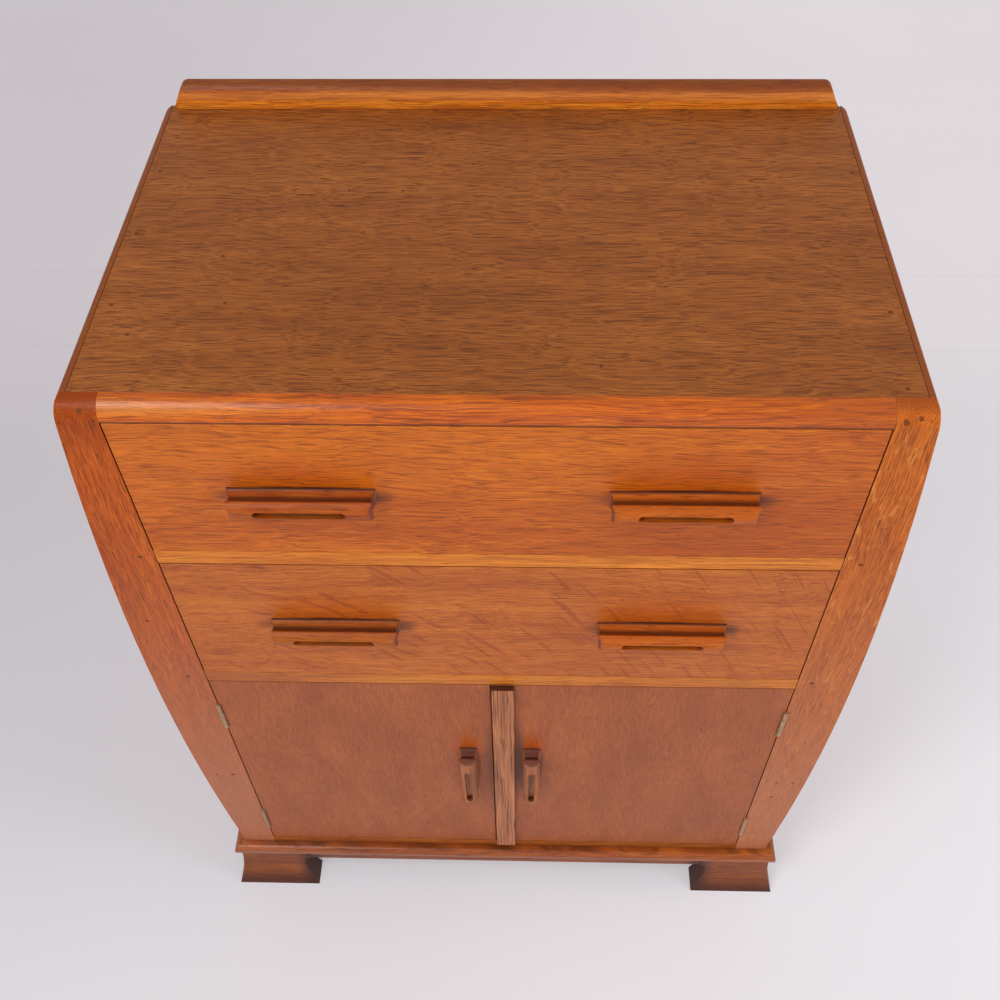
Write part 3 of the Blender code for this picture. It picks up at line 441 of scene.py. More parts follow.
    # End grain drinks more polish, so it is darker.
    shade, amount = ends
    if amount:
        facing = add_node(
            material, "VectorMath", {0: surface.outputs["Normal"], 1: along}, operation="DOT_PRODUCT"
        ).outputs["Value"]
        square = add_node(material, "Math", {0: facing, 1: facing}, operation="MULTIPLY")
        colour, _ = marked(
            material, colour, square, 0.35, 0.85, (0.0, amount), rgba(getattr(colours, shade))
        )
    # Faded, waxed or dirty places, and painted shade, highlights and reflections, where a film hides the
    # grain.
    colour = washed(material, mm, colour, colours, films)
    # Painted shade: what looks up is darkened by crown, in the pores' dark colour.
    if crown:
        upward = add_node(material, "SeparateXYZ", {0: surface.outputs["Normal"]})
        colour, _ = marked(
            material, colour, upward.outputs["Z"], 0.1, 0.85, (0.0, crown), rgba(colours.pore)
        )

    # Handling wears the stain off the edges, about 1 mm wide.
    if wear:
        rounded = add_node(material, "Bevel", {"Radius": 1.0 * MM}, samples=4)
        bent = add_node(
            material, "VectorMath", {0: rounded, 1: surface.outputs["Normal"]}, operation="DOT_PRODUCT"
        ).outputs["Value"]
        colour, _ = marked(material, colour, bent, 0.88, 0.985, (wear, 0.0), light)

    # Painted shade in corners, gaps and recesses, with old polish and dust: it darkens them and thins out
    # evenly within about 8 mm of them.
    if dirt_and_corner_shade:
        shelter = add_node(material, "AmbientOcclusion", {"Distance": 8 * MM}, samples=6)
        corner = add_node(
            material, "MapRange",
            {
                "Value": shelter.outputs["AO"], "From Min": 0.2, "From Max": 0.85,
                "To Min": dirt_and_corner_shade, "To Max": 0.0,
            },
        )
        colour = add_node(
            material, "Mix", {0: corner, 6: colour, 7: rgba(colours.dirt_and_shade)}, data_type="RGBA"
        ).outputs[2]

    rough = add_node(material, "Math", {0: fibres, 1: 0.12, 2: roughness - 0.06}, operation="MULTIPLY_ADD")
    rough = add_node(material, "Math", {0: pore, 1: 0.2, 2: rough}, operation="MULTIPLY_ADD")
    height = add_node(material, "Math", {0: fibres, 1: 0.5}, operation="MULTIPLY")
    height = add_node(material, "Math", {0: height, 1: pore}, operation="SUBTRACT")
    bump = add_node(material, "Bump", {"Strength": 0.5, "Distance": relief * MM, "Height": height})
    shader = add_node(
        material, "BsdfPrincipled",
        {
            "Base Color": colour,
            "Roughness": rough,
            "Normal": bump,
            "IOR": 1.5,
            "Specular IOR Level": specular,
            "Coat Weight": coat,
            "Coat Roughness": 0.3,
        },
    )
    return finish_material(material, shader)


def aged_metal(name, colour, stain, roughness):
    """Old metal, dulled in patches of a few millimetres by tarnish that is stain times as bright."""
    material = new_material(name)
    place = add_node(material, "TexCoord")
    patches = add_node(
        material, "TexNoise",
        {"Vector": place.outputs["Object"], "Scale": 1 / (4 * MM), "Detail": 4.0, "Roughness": 0.65},
    )
    cover = add_node(
        material, "MapRange", {"Value": patches, "From Min": 0.4, "From Max": 0.65, "To Max": 0.75}
    )
    mixed = add_node(
        material, "Mix",
        {0: cover, 6: rgba(colour), 7: rgba([stain * part for part in colour])},
        data_type="RGBA",
    )
    rough = add_node(material, "Math", {0: cover, 1: 0.25, 2: roughness}, operation="MULTIPLY_ADD")
    bump = add_node(material, "Bump", {"Strength": 0.4, "Distance": 0.05 * MM, "Height": patches})
    shader = add_node(
        material, "BsdfPrincipled",
        {"Base Color": mixed.outputs[2], "Metallic": 1.0, "Roughness": rough, "Normal": bump},
    )
    return finish_material(material, shader)


def seen_or_reflected(material):
    """1 for rays from the camera, in reflections and through clear things, and 0 for light."""
    path = add_node(material, "LightPath")
    rays = {0: path.outputs["Is Camera Ray"], 1: path.outputs["Is Glossy Ray"]}
    seen = add_node(material, "Math", rays, operation="MAXIMUM")
    return add_node(
        material, "Math", {0: seen, 1: path.outputs["Is Transmission Ray"]}, operation="MAXIMUM"
    )


def wax_filler(colours):
    """Hard wax melted into a hole and cut level: dark brown and cloudy, with little shine."""
    material = new_material("hard wax filler, cut level")
    place = add_node(material, "TexCoord")
    cloud = add_node(
        material, "TexNoise", {"Vector": place.outputs["Object"], "Scale": 1 / (2.5 * MM), "Detail": 3.0}
    )
    pale = tuple(2.2 * part for part in colours.filler)
    mixed = add_node(material, "Mix", {0: cloud, 6: rgba(colours.filler), 7: rgba(pale)}, data_type="RGBA")
    bump = add_node(material, "Bump", {"Strength": 0.5, "Distance": 0.1 * MM, "Height": cloud})
    shader = add_node(
        material, "BsdfPrincipled",
        {
            "Base Color": mixed.outputs[2],
            "Roughness": 0.55,
            "Normal": bump,
            "IOR": 1.44,
            "Specular IOR Level": 0.1,
        },
    )
    return finish_material(material, shader)


def painted_floor(colours, sizes):
    """Floorboards painted white: nearly flat, with faint brush marks and two faint joints behind."""
    material = new_material("painted floor, white")
    place = add_node(material, "TexCoord")
    spread = add_node(
        material, "VectorMath", {0: place.outputs["Object"], 1: (1.2, 2.4, 1.0)}, operation="MULTIPLY"
    )
    cloud = add_node(material, "TexNoise", {"Vector": spread, "Scale": 1.0, "Detail": 3.0})
    parts = add_node(material, "SeparateXYZ", {0: place.outputs["Object"]})
    # Painted shade: the left and the back are a little darker than the right and the front.
    left = add_node(
        material, "MapRange",
        {"Value": parts.outputs["X"], "From Min": -1.3, "From Max": 1.1, "To Min": 1.0, "To Max": 0.0},
        interpolation_type="SMOOTHSTEP",
    )
    behind = add_node(
        material, "MapRange",
        {"Value": parts.outputs["Y"], "From Min": -0.6, "From Max": 0.6, "To Min": 0.15, "To Max": 0.7},
        interpolation_type="SMOOTHSTEP",
    )
    fade = add_node(material, "Math", {0: left, 1: behind}, operation="MULTIPLY")
    shades = {0: fade, 6: rgba(colours.floor), 7: rgba(colours.beyond_left)}
    tone = add_node(material, "Mix", shades, data_type="RGBA").outputs[2]
    shadow = add_node(material, "Math", {0: cloud, 1: 0.08, 2: 0.96}, operation="MULTIPLY_ADD")
    for distance in (sizes.joint, sizes.joint + sizes.board):
        away = add_node(material, "Math", {0: parts.outputs["Y"], 1: distance}, operation="SUBTRACT")
        away = add_node(material, "Math", {0: away}, operation="ABSOLUTE")
        line = add_node(
            material, "MapRange",
            {"Value": away, "From Min": 0.0, "From Max": 11 * MM, "To Min": 0.975, "To Max": 1.0},
            interpolation_type="SMOOTHSTEP",
        )
        shadow = add_node(material, "Math", {0: shadow, 1: line}, operation="MULTIPLY")
    shade = add_node(material, "VectorMath", {0: tone, "Scale": shadow}, operation="SCALE")
    painted = add_node(
        material, "BsdfPrincipled", {"Base Color": shade, "Roughness": 0.6, "Specular IOR Level": 0.25}
    )
    # Far behind, the floor runs into the backdrop. Near by, a little of the backdrop is laid over the
    # floor as a painted glow that softens the shadow. Only what is seen or reflected shows it.
    shades = {0: left, 6: rgba(colours.beyond), 7: rgba(colours.beyond_left)}
    backdrop = add_node(material, "Mix", shades, data_type="RGBA").outputs[2]
    backdrop = add_node(material, "VectorMath", {0: backdrop, "Scale": shadow}, operation="SCALE")
    reach = add_node(
        material, "VectorMath", {0: place.outputs["Object"]}, operation="LENGTH"
    ).outputs["Value"]
    backdrop, _ = marked(material, backdrop, reach, 2.9, 4.3, (0.0, 1.0), rgba(colours.beyond))
    glow = add_node(material, "Emission", {"Color": backdrop, "Strength": 1.0})
    far = add_node(
        material, "MapRange",
        {"Value": parts.outputs["Y"], "From Min": 0.1, "From Max": 1.3, "To Min": 0.42, "To Max": 1.0},
        interpolation_type="SMOOTHSTEP",
    )
    all_round = add_node(
        material, "MapRange",
        {"Value": reach, "From Min": 1.6, "From Max": 4.0},
        interpolation_type="SMOOTHSTEP",
    )
    far = add_node(material, "Math", {0: far, 1: all_round}, operation="MAXIMUM")
    share = add_node(material, "Math", {0: far, 1: seen_or_reflected(material)}, operation="MULTIPLY")
    return finish_material(material, add_node(material, "MixShader", {0: share, 1: painted, 2: glow}))


def dress(names, material):
    """Gives CAD nodes a finish and softens their edges a little."""
    for name in names:
        node = NODES[name]
        node.data.materials.clear()
        node.data.materials.append(material)
        node.data.shade_smooth()
        weld = node.modifiers.new("weld", "WELD")
        weld.merge_threshold = 1e-5
        bevel = node.modifiers.new("eased edges", "BEVEL")
        bevel.width = bpy.context.scene.tallboy_sizes.edge
        bevel.segments = 2
        bevel.limit_method = "ANGLE"
        bevel.angle_limit = radians(32)
        bevel.use_clamp_overlap = True
        node.modifiers.new("flat faces", "WEIGHTED_NORMAL")


def names_with(*parts):
    """Every CAD node whose name holds all the parts."""
    return [name for name in sorted(NODES) if all(part in name for part in parts)]


def add_piece(name, shape, body, material):
    """An object from a bmesh drawn in the CAD model's frame, riding on a body."""
    bmesh.ops.recalc_face_normals(shape, faces=shape.faces)
    mesh = bpy.data.meshes.new(name)
    shape.to_mesh(mesh)
    shape.free()
    piece = bpy.data.objects.new(name, mesh)
    bpy.context.scene.collection.objects.link(piece)
    mesh.materials.append(material)
    mesh.shade_smooth()
    mesh.set_sharp_from_angle(angle=radians(35))
    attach(piece, body)
    return piece


def turned(shape, profile, place, facing, steps, uneven=None):
    """Adds a small closed turning of (radius, rise) pairs round an axis that stands out of place."""
    turn = facing.to_track_quat("Z", "Y").to_matrix().to_4x4()
    move = Matrix.Translation(place) @ turn
    rings = []
    for radius, rise in profile:
        ring = []
        for step in range(steps):
            angle = 2 * pi * step / steps
            wide = radius * (uneven[step] if uneven else 1.0)
            ring.append(shape.verts.new(move @ Vector((wide * cos(angle), wide * sin(angle), rise))))
        rings.append(ring)
    for low, high in zip(rings, rings[1:]):
        for step in range(steps):
            after = (step + 1) % steps
            shape.faces.new((low[step], low[after], high[after], high[step]))
    shape.faces.new(rings[0][::-1])
    return shape.faces.new(rings[-1])


def slotted_head(shape, place, facing, diameter, slot_angle, rise):
    """Adds a countersunk screw head with a real slot."""
    half = diameter / 2
    part = bmesh.new()
    profile = (
        (0.5 * half, -0.6 * MM), (half, -0.15 * MM), (half, 0.2 * rise), (0.9 * half, 0.8 * rise),
        (0.6 * half, rise),
    )
    turned(part, profile, NONE, Z, 20)
    width = diameter * 0.09
    for offset in (-width, width):
        everything = part.verts[:] + part.edges[:] + part.faces[:]
        bmesh.ops.bisect_plane(part, geom=everything, plane_co=(offset, 0, 0), plane_no=(1, 0, 0))
    groove = [
        face for face in part.faces
        if abs(face.calc_center_median().x) < width and face.calc_center_median().z > 0.1 * rise
    ]
    pushed = bmesh.ops.extrude_face_region(part, geom=groove)
    bmesh.ops.delete(part, geom=groove, context="FACES_KEEP_BOUNDARY")
    moved = [item for item in pushed["geom"] if isinstance(item, bmesh.types.BMVert)]
    bmesh.ops.translate(part, verts=moved, vec=(0, 0, -0.3 * MM - 0.5 * rise))
    # The cuts leave the faces in an order that changes from run to run, so they are put in one.
    order = Vector((1.0, 1.7, 2.9))
    part.faces.sort(key=lambda face: face.calc_center_median().dot(order))
    turn = facing.to_track_quat("Z", "Y").to_matrix().to_4x4() @ Matrix.Rotation(slot_angle, 4, "Z")
    bmesh.ops.transform(part, matrix=Matrix.Translation(place) @ turn, verts=part.verts)
    copy = bpy.data.meshes.new("head")
    part.to_mesh(copy)
    part.free()
    shape.from_mesh(copy)
    bpy.data.meshes.remove(copy)


def box_mm(node):
    """A CAD node's lowest corner, middle and highest corner, in millimetres."""
    low, high = ([1000 * part for part in corner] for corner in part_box(node))
    return low, [(a + b) / 2 for a, b in zip(low, high)], high


def around_pull(pull):
    """Washes round a pull: rubbed orange above it, a dark line along its top edge, and dirt with painted
    shadow at its ends.
    """
    low, middle, high = box_mm(pull)
    washes = [((middle[0], high[1], high[2] + 14.0), (95.0, 25.0, 40.0), "rubbed", 0.55)]
    washes.append(((middle[0], high[1], high[2] + 0.4), (70.0, 6.0, 2.2), "dirt_and_shade", 0.95))
    # Dirt and painted shadow at the ends, more at the right end, away from the light.
    for end, amount in ((low[0] - 3.0, 0.28), (high[0] + 3.0, 0.65)):
        washes.append(((end, high[1], middle[2] - 1.0), (20.0, 25.0, 13.0), "dirt_and_shade", amount))
    return washes


class TallboyPiece:
    """What every operator of the tallboy shares."""

    bl_options = {"REGISTER", "UNDO"}


class TALLBOY_OT_stiles(TallboyPiece, bpy.types.Operator):
    """Finishes the bowed stiles and side panels"""

    bl_idname = "tallboy.stiles"
    bl_label = "Stiles and sides"

    def execute(self, context):
        colours = context.scene.tallboy_colours
        # The stiles and sides are paler and pinker near the floor, more on the left: faded wood, with a
        # painted reflection of the pale floor over it.
        foot = (0.0, 0.0, 60.0)
        fade = (FAR, FAR, 860.0)
        # Solid oak, planed and waxed: fine grain with little shine.
        waxed = dict(broad=(260.0, 18.0, 0.3), specular=0.14, coat=0.04)
        # The left stile's grain is red-brown, and leans a little.
        left = oak(
            "rift-sawn oak, waxed stile", colours, "left_stile",
            (Vector((-0.14, 0, 0.99)), X, Y), (-900.0, -900.0),
            rings=(4.0, 0.15), pores=(20.0, 0.95, 0.565, 0.6), fibre=(60.0, 1.1, 0.48), spots=0.5,
            washes=[((-340.0, -212.0, 975.0), (FAR, FAR, 90.0), "left_stile_dark", 0.6)],
            films=[(foot, fade, "bleached_and_sheen", 0.75)], ends=("left_stile_dark", 0.6), **waxed,
        )
        # The right one was cut on the quarter, so pale rays cross it.
        right = oak(
            "quarter-sawn oak, waxed stile", colours, "right_stile", (Z, X, Y), (-1200.0, -100.0),
            rings=(4.0, 0.12), pores=(24.0, 0.95, 0.575, 0.55), fibre=(60.0, 1.1, 0.45), spots=0.4,
            rays=(26.0, 8.0, 0.58, 0.5),
            films=[(foot, fade, "bleached_and_sheen", 0.65)], ends=("right_stile_dark", 0.6), **waxed,
        )
        # Thin oak bent to the bow, with its grain upright.
        side = oak(
            "bent oak ply, waxed side", colours, "right_stile", (Z, Y, X), (60.0, -700.0),
            pores=(18.0, 1.6, 0.57, 0.5), fibre=(60.0, 1.4, 0.35), broad=(380.0, 50.0, 0.4),
            films=[(foot, fade, "bleached_and_sheen", 0.45)], ends=("top_dark", 0.85), dirt_and_corner_shade=0.25,
        )
        dress(["front_stile_left"], left)
        dress(["front_stile_right"], right)
        dress(names_with("side_panel"), side)
        return {"FINISHED"}


class TALLBOY_OT_top(TallboyPiece, bpy.types.Operator):
    """Finishes the top, its rounded front rail and the gallery"""

    bl_idname = "tallboy.top"
    bl_label = "Top and gallery"

    def execute(self, context):
        colours = context.scene.tallboy_colours
        # Flat-sawn oak darkened by light and handling: wide figure and bold open pores.
        top = oak(
            "flat-sawn oak, worn wax top", colours, "top", (X, Y, Z), (-60.0, 620.0),
            waver=4.0, rings=(5.0, 0.1), pores=(34.0, 0.95, 0.548, 0.72), fibre=(70.0, 1.1, 0.42),
            broad=(220.0, 60.0, 0.3), spots=0.7, roughness=0.5, coat=0.04, relief=0.25, dirt_and_corner_shade=0.25,
        )
        # The same oak kept oranger by its rounded face, with silky lines that catch the light.
        rounded = dict(
            rings=(4.0, 0.2), pores=(34.0, 0.9, 0.575, 0.6), fibre=(90.0, 1.5, 0.65),
            broad=(160.0, 10.0, 0.45),
        )
        # The front rail gets a pale painted highlight, with some wear, at its left, painted shade at its
        # right, and a painted shadow line underneath, where it meets the drawer.
        rail = oak(
            "oak, rounded and waxed rail", colours, "nosing", (X, Z, Y), (1500.0, -500.0),
            roughness=0.4, coat=0.35, specular=0.2, ends=("end_grain", 0.0),
            washes=[
                ((-330.0, -224.0, 964.0), (270.0, 40.0, 9.0), "wear_and_highlight", 0.5),
                ((340.0, -224.0, 962.0), (280.0, 40.0, 60.0), "right_stile_dark", 0.5),
                ((0.0, -212.0, 952.0), (FAR, FAR, 1.8), "dirt_and_shade", 0.9),
            ],
            **rounded,
        )
        # Painted shade darkens the gallery's top, which looks up, and a painted highlight makes a paler
        # band under it.
        gallery = oak(
            "oak, rounded and waxed gallery", colours, "rail", (X, Z, Y), (1500.0, -500.0),
            roughness=0.45, coat=0.05, specular=0.25, crown=0.6, dim=1.1, dirt_and_corner_shade=0.3,
            washes=[((0.0, 0.0, 992.5), (FAR, FAR, 7.0), "upper_drawer_dark", 0.7)],
            films=[((0.0, 0.0, 983.5), (FAR, FAR, 6.5), "bead_light", 0.35)], **rounded,
        )
        dress(["top_panel"], top)
        dress(["top_front_rail"], rail)
        dress(["gallery_rail"], gallery)
        return {"FINISHED"}


class TALLBOY_OT_rails(TallboyPiece, bpy.types.Operator):
    """Finishes the rails between the openings and the cupboard floor"""

    bl_idname = "tallboy.rails"
    bl_label = "Rails and cupboard floor"

    def execute(self, context):
        colours = context.scene.tallboy_colours
        # Straight-grained oak, the palest wood on the front. The lower pieces are a little darker,
        # and dull at their left ends.
        left_end, _, _ = box_mm("lower_rail")
        straight = dict(
            rings=(4.0, 0.1), pores=(30.0, 1.0, 0.59, 0.5), fibre=(110.0, 1.4, 0.6),
            broad=(240.0, 12.0, 0.35), washes=[(left_end, (270.0, 60.0, 50.0), "door_body", 0.7)],
        )
        for node, finish, dim in (
            ("middle_rail", "rail", 1.0),
            ("lower_rail", "rail", 0.88),
            ("bottom_board", "lower_drawer", 0.7),
        ):
            name = f"straight-grained oak, waxed {node}"
            dress([node], oak(name, colours, finish, (X, Z, Y), (900.0, 400.0), dim=dim, **straight))
        return {"FINISHED"}


class TALLBOY_OT_drawers(TallboyPiece, bpy.types.Operator):
    """Finishes the two drawers"""

    bl_idname = "tallboy.drawers"
    bl_label = "Drawers"

    def execute(self, context):
        colours = context.scene.tallboy_colours
        # Solid oak fronts with long grain. The lower one is on the quarter and shows wavy rays.
        halos = {
            level: [wash for _, hand in SIDES for wash in around_pull(f"{level}_drawer_pull_{hand}")]
            for level in DRAWERS
        }
        upper = oak(
            "oak, waxed drawer front with long grain", colours, "upper_drawer", (X, Z, Y), (420.0, 700.0),
            waver=3.0, rings=(4.0, 0.15), pores=(28.0, 0.85, 0.58, 0.5), fibre=(90.0, 1.1, 0.45),
            broad=(260.0, 22.0, 0.3), strokes=(0.14, 0.0, -320.0, 50.0, 3.5, 0.62, 0.6), spots=0.3,
            washes=[
                # Painted light and reflection make the front paler and oranger across its upper left and
                # middle, and painted shade darkens its lower right.
                ((-110.0, -212.0, 950.0), (480.0, FAR, 150.0), "upper_drawer_light", 0.3),
                ((270.0, -212.0, 800.0), (360.0, FAR, 150.0), "upper_drawer_dark", 0.5),
                *halos["upper"],
            ],
        )
        lower = oak(
            "quarter-sawn oak, waxed drawer front", colours, "lower_drawer", (X, Z, Y), (1700.0, 60.0),
            waver=3.0, rings=(4.0, 0.1), pores=(24.0, 0.85, 0.585, 0.45), fibre=(80.0, 1.1, 0.5),
            broad=(260.0, 22.0, 0.3), strokes=(0.25, 0.0028, -320.0, 44.0, 10.0, 0.62, 0.62), spots=0.3,
            washes=halos["lower"],
        )
        # Inside, bare planed oak is pale and dull, and plywood shows wide loops peeled off a log.
        side = oak("planed oak, bare drawer side", colours, "inside", (Y, Z, X), **BARE)
        back = oak("planed oak, bare drawer back", colours, "inside", (X, Z, Y), **BARE)
        base = oak(
            "thin plywood, drawer bottom", colours, "ply", (X, Y, Z), (0.0, -300.0),
            rings=(6.0, 0.3), pores=(8.0, 1.6, 0.6, 0.25), roughness=0.6, coat=0.0,
            ends=("dirt_and_shade", 0.0), dirt_and_corner_shade=0.4,
        )
        dress(["upper_drawer_front"], upper)
        dress(["lower_drawer_front"], lower)
        dress(names_with("drawer_side"), side)
        dress(names_with("drawer_back"), back)
        dress(names_with("drawer_bottom"), base)
        return {"FINISHED"}


class TALLBOY_OT_doors(TallboyPiece, bpy.types.Operator):
    """Finishes the two doors and the bead that covers their joint"""

    bl_idname = "tallboy.doors"
    bl_label = "Doors"

    def execute(self, context):
        colours = context.scene.tallboy_colours
        bead_low, _, bead_high = box_mm("cover_bead")
        # Fine upright grain, browner than the drawers, with soft clouds in the old polish.
        for hand, edge, shade in (("left", bead_low[0] - 3.0, 0.45), ("right", bead_high[0] + 4.0, 0.75)):
            _, middle, high = box_mm(f"{hand}_door_pull")
            # Rubbed above the pull. Painted shadow, with old polish, lies along the meeting edge beside the
            # bead, darker right of the bead, and on the right of the pull.
            washes = [
                ((middle[0], high[1], high[2] + 2.0), (26.0, 25.0, 36.0), "rubbed", 0.7),
                ((edge, high[1], middle[2] + 20.0), (12.0, 25.0, 130.0), "dirt_and_shade", shade),
                ((high[0] + 0.5, high[1], middle[2] + 8.0), (3.6, 25.0, 50.0), "dirt_and_shade", 0.5),
            ]
            door = oak(
                f"fine-grained oak, waxed {hand} door", colours, "door", (Z, X, Y), (150.0, 900.0),
                rings=(3.2, 0.08), pores=(14.0, 0.8, 0.59, 0.25), fibre=(26.0, 0.85, 0.35),
                broad=(130.0, 40.0, 0.25), washes=washes, coat=0.06,
            )
            dress([f"{hand}_door"], door)
        # A strip of coarse open-grained oak.
        bead = oak(
            "open-grained oak, cover bead", colours, "bead", (Z, X, Y), (-300.0, 80.0),
            waver=1.5, rings=(9.0, 0.25), pores=(150.0, 2.0, 0.612, 0.8), fibre=(90.0, 1.2, 0.5),
            broad=(170.0, 9.0, 0.3), ends=("dirt_and_shade", 0.9),
        )
        dress(["cover_bead"], bead)
        return {"FINISHED"}


class TALLBOY_OT_pulls(TallboyPiece, bpy.types.Operator):
    """Finishes the six fluted pulls"""

    bl_idname = "tallboy.pulls"
    bl_label = "Pulls"

    def execute(self, context):
        colours = context.scene.tallboy_colours
        # Moulded oak, rubbed by hands, with dirt and painted shade in the flutes and under the caps.
        moulded = dict(
            rings=(3.5, 0.15), pores=(20.0, 0.9, 0.6, 0.45), fibre=(45.0, 1.2, 0.35),
            broad=(90.0, 14.0, 0.35), roughness=0.42, coat=0.08, specular=0.14, ends=("end_grain", 0.85),
            dirt_and_corner_shade=0.35, wear=0.0,
        )
        for pull in names_with("_pull"):
            low, middle, high = box_mm(pull)
            upright = "door" in pull
            # The flute is 81 mm long on a drawer and 77 mm on a door, 7.5 mm wide and 5.5 mm deep.
            centre = [middle[0], low[1] + 6.5, middle[2] - (6.5 if upright else 0.0)]
            reach, run = (38.5, 2) if upright else (40.5, 0)
            radii = [6.8, 7.5, 6.8]
            radii[run] = 1.1 * reach
            washes = [(centre, radii, "flute", 0.12 if upright else 1.0)]
            if pull in PULL_CASTS:
                cast, amount = PULL_CASTS[pull]
                washes.append((middle, (FAR, FAR, FAR), cast, amount))
            # Dirt and painted shade lie in the valley under the cap, 11 mm out from the face, deep in the
            # flute, and where the foot meets the face.
            if upright:
                films = [
                    ((middle[0], high[1] - 11.5, high[2] - 3.0), (FAR, 3.2, 3.4), "dirt_and_shade", 0.95),
                    ((middle[0], high[1] - 5.0, high[2] - 1.5), (FAR, 9.0, 4.0), "dirt_and_shade", 0.4),
                    (centre, (1.7, 7.5, 34.0), "dirt_and_shade", 0.6),
                ]
            else:
                films = [
                    ((middle[0], high[1] - 10.4, middle[2] + 7.2), (FAR, 6.0, 3.8), "dirt_and_shade", 0.8),
                    ((centre[0], low[1] + 6.2, centre[2]), (1.1 * reach, 3.4, 6.0), "dirt_and_shade", 0.7),
                ]
            films.append(((middle[0], high[1], high[2]), (FAR, 3.0, 3.0), "dirt_and_shade", 0.95))
            for step in (-1, 1):
                end = list(centre)
                end[run] += step * (reach - 3.0)
                films.append((end, (6.0, 6.2, 6.0), "dirt_and_shade", 0.85))
            grain = (Z, X, Y) if upright else (X, Z, Y)
            finish = "door_pull" if upright else "pull"
            name = f"moulded oak, handled {pull}"
            dress([pull], oak(name, colours, finish, grain, washes=washes, films=films, **moulded))
        return {"FINISHED"}


class TALLBOY_OT_plinth(TallboyPiece, bpy.types.Operator):
    """Finishes the plinth moulding, the aprons and the bracket feet"""

    bl_idname = "tallboy.plinth"
    bl_label = "Plinth and feet"

    def execute(self, context):
        colours = context.scene.tallboy_colours
        # Stained oak, darker than the rest and the shiniest on its moulding. The grain runs round
        # the mitred corners, so it is measured along X and Y together.
        round_corners = dict(
            rings=(4.0, 0.15), pores=(24.0, 1.6, 0.57, 0.45), fibre=(70.0, 1.5, 0.35),
            broad=(200.0, 14.0, 0.35), ends=("dirt_and_shade", 0.0),
        )
        moulding = oak(
            "stained oak, polished moulding", colours, "plinth", (X + Y, Z, NONE),
            roughness=0.36, coat=0.3, dim=1.4,
            # A painted sheen, pinkish, lies over the moulding's left end.
            washes=[((-330.0, -230.0, 95.0), (190.0, FAR, FAR), "bleached_and_sheen", 0.2)], **round_corners,
        )
        # The feet are darker low down and at their outer edges. Their hollow inner ends get painted shade,
        # as they lie under the case, and dirt.
        low, _, high = box_mm("front_foot_left")
        dimmed = [((0.0, 0.0, -4.0), (FAR, FAR, 40.0), "dirt_and_shade", 0.8)]
        for side, _ in SIDES:
            dimmed.append(((-side * (high[0] - 5.0), 0.0, 45.0), (26.0, FAR, 110.0), "dirt_and_shade", 0.95))
            dimmed.append(((-side * low[0], 0.0, 40.0), (9.0, FAR, 80.0), "dirt_and_shade", 0.6))
        feet = oak(
            "stained oak, waxed feet", colours, "plinth", (X + Y, Z, NONE),
            dirt_and_corner_shade=0.75, washes=dimmed, **round_corners,
        )
        dress(names_with("plinth_moulding"), moulding)
        dress(names_with("apron") + names_with("_foot_"), feet)
        return {"FINISHED"}


class TALLBOY_OT_inside(TallboyPiece, bpy.types.Operator):
    """Finishes what is inside and behind: runners, shelf, dust board and back"""

    bl_idname = "tallboy.inside"
    bl_label = "Inside and back"

    def execute(self, context):
        colours = context.scene.tallboy_colours
        # Bare planed oak, paler and duller than the waxed outside.
        deep = oak("planed oak, bare runner", colours, "inside", (Y, Z, X), **BARE)
        wide = oak("planed oak, bare shelf", colours, "inside", (X, Y, Z), (120.0, 900.0), **BARE)
        upright = oak("planed oak, bare back stile", colours, "inside", (Z, X, Y), **BARE)
        # Plywood, with wide loops of grain from the peeling of the log.
        ply = oak(
            "plywood, bare back panel", colours, "ply", (Z, X, Y), (40.0, -260.0),
            rings=(7.0, 0.3), pores=(10.0, 1.8, 0.6, 0.25), roughness=0.6, coat=0.0, specular=0.3,
            ends=("dirt_and_shade", 0.0), dirt_and_corner_shade=0.4,
        )
        dress(names_with("runner") + names_with("bearer"), deep)
        dress(["shelf", "door_stop", "back_rail"], wide)
        dress(names_with("back_stile"), upright)
        dress(["back_panel", "dust_board"], ply)
        return {"FINISHED"}


class TALLBOY_OT_hinges(TallboyPiece, bpy.types.Operator):
    """Finishes the four butt hinges and adds their screws"""

    bl_idname = "tallboy.hinges"
    bl_label = "Hinges"

    def execute(self, context):
        colours, sizes = context.scene.tallboy_colours, context.scene.tallboy_sizes
        # Drawn brass, never polished since: grey-brown tarnish with a little yellow left.
        brass = aged_metal("drawn brass, tarnished hinge", colours.brass, 0.5, 0.45)
        dress(names_with("hinge"), brass)
        for node in names_with("hinge"):
            side = -1 if node.startswith("left") else 1
            on_case = "frame_leaf" in node
            low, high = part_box(node)
            # The leaf's shown face looks into the joint between the door and the stile.
            face_x = side * (HALF_OPENING if on_case else HALF_OPENING - DOOR_GAP)
            facing = Vector((-side if on_case else side, 0, 0))
            shape = bmesh.new()
            middle = (low.z + high.z) / 2
            random.seed(node)
            # The middle screw stands further in than the outer two.
            for step in (-1, 0, 1):
                inset = (4.2 if step else 8.5) * MM
                place = Vector((face_x, high.y - inset, middle + step * LEAF_SCREW_PITCH))
                slotted_head(shape, place, facing, sizes.leaf_screw_head, random.uniform(0, pi), 0.1 * MM)
            body = "case" if on_case else ("left_door" if side < 0 else "right_door")
            add_piece(f"{node}_screws", shape, body, brass)
        return {"FINISHED"}


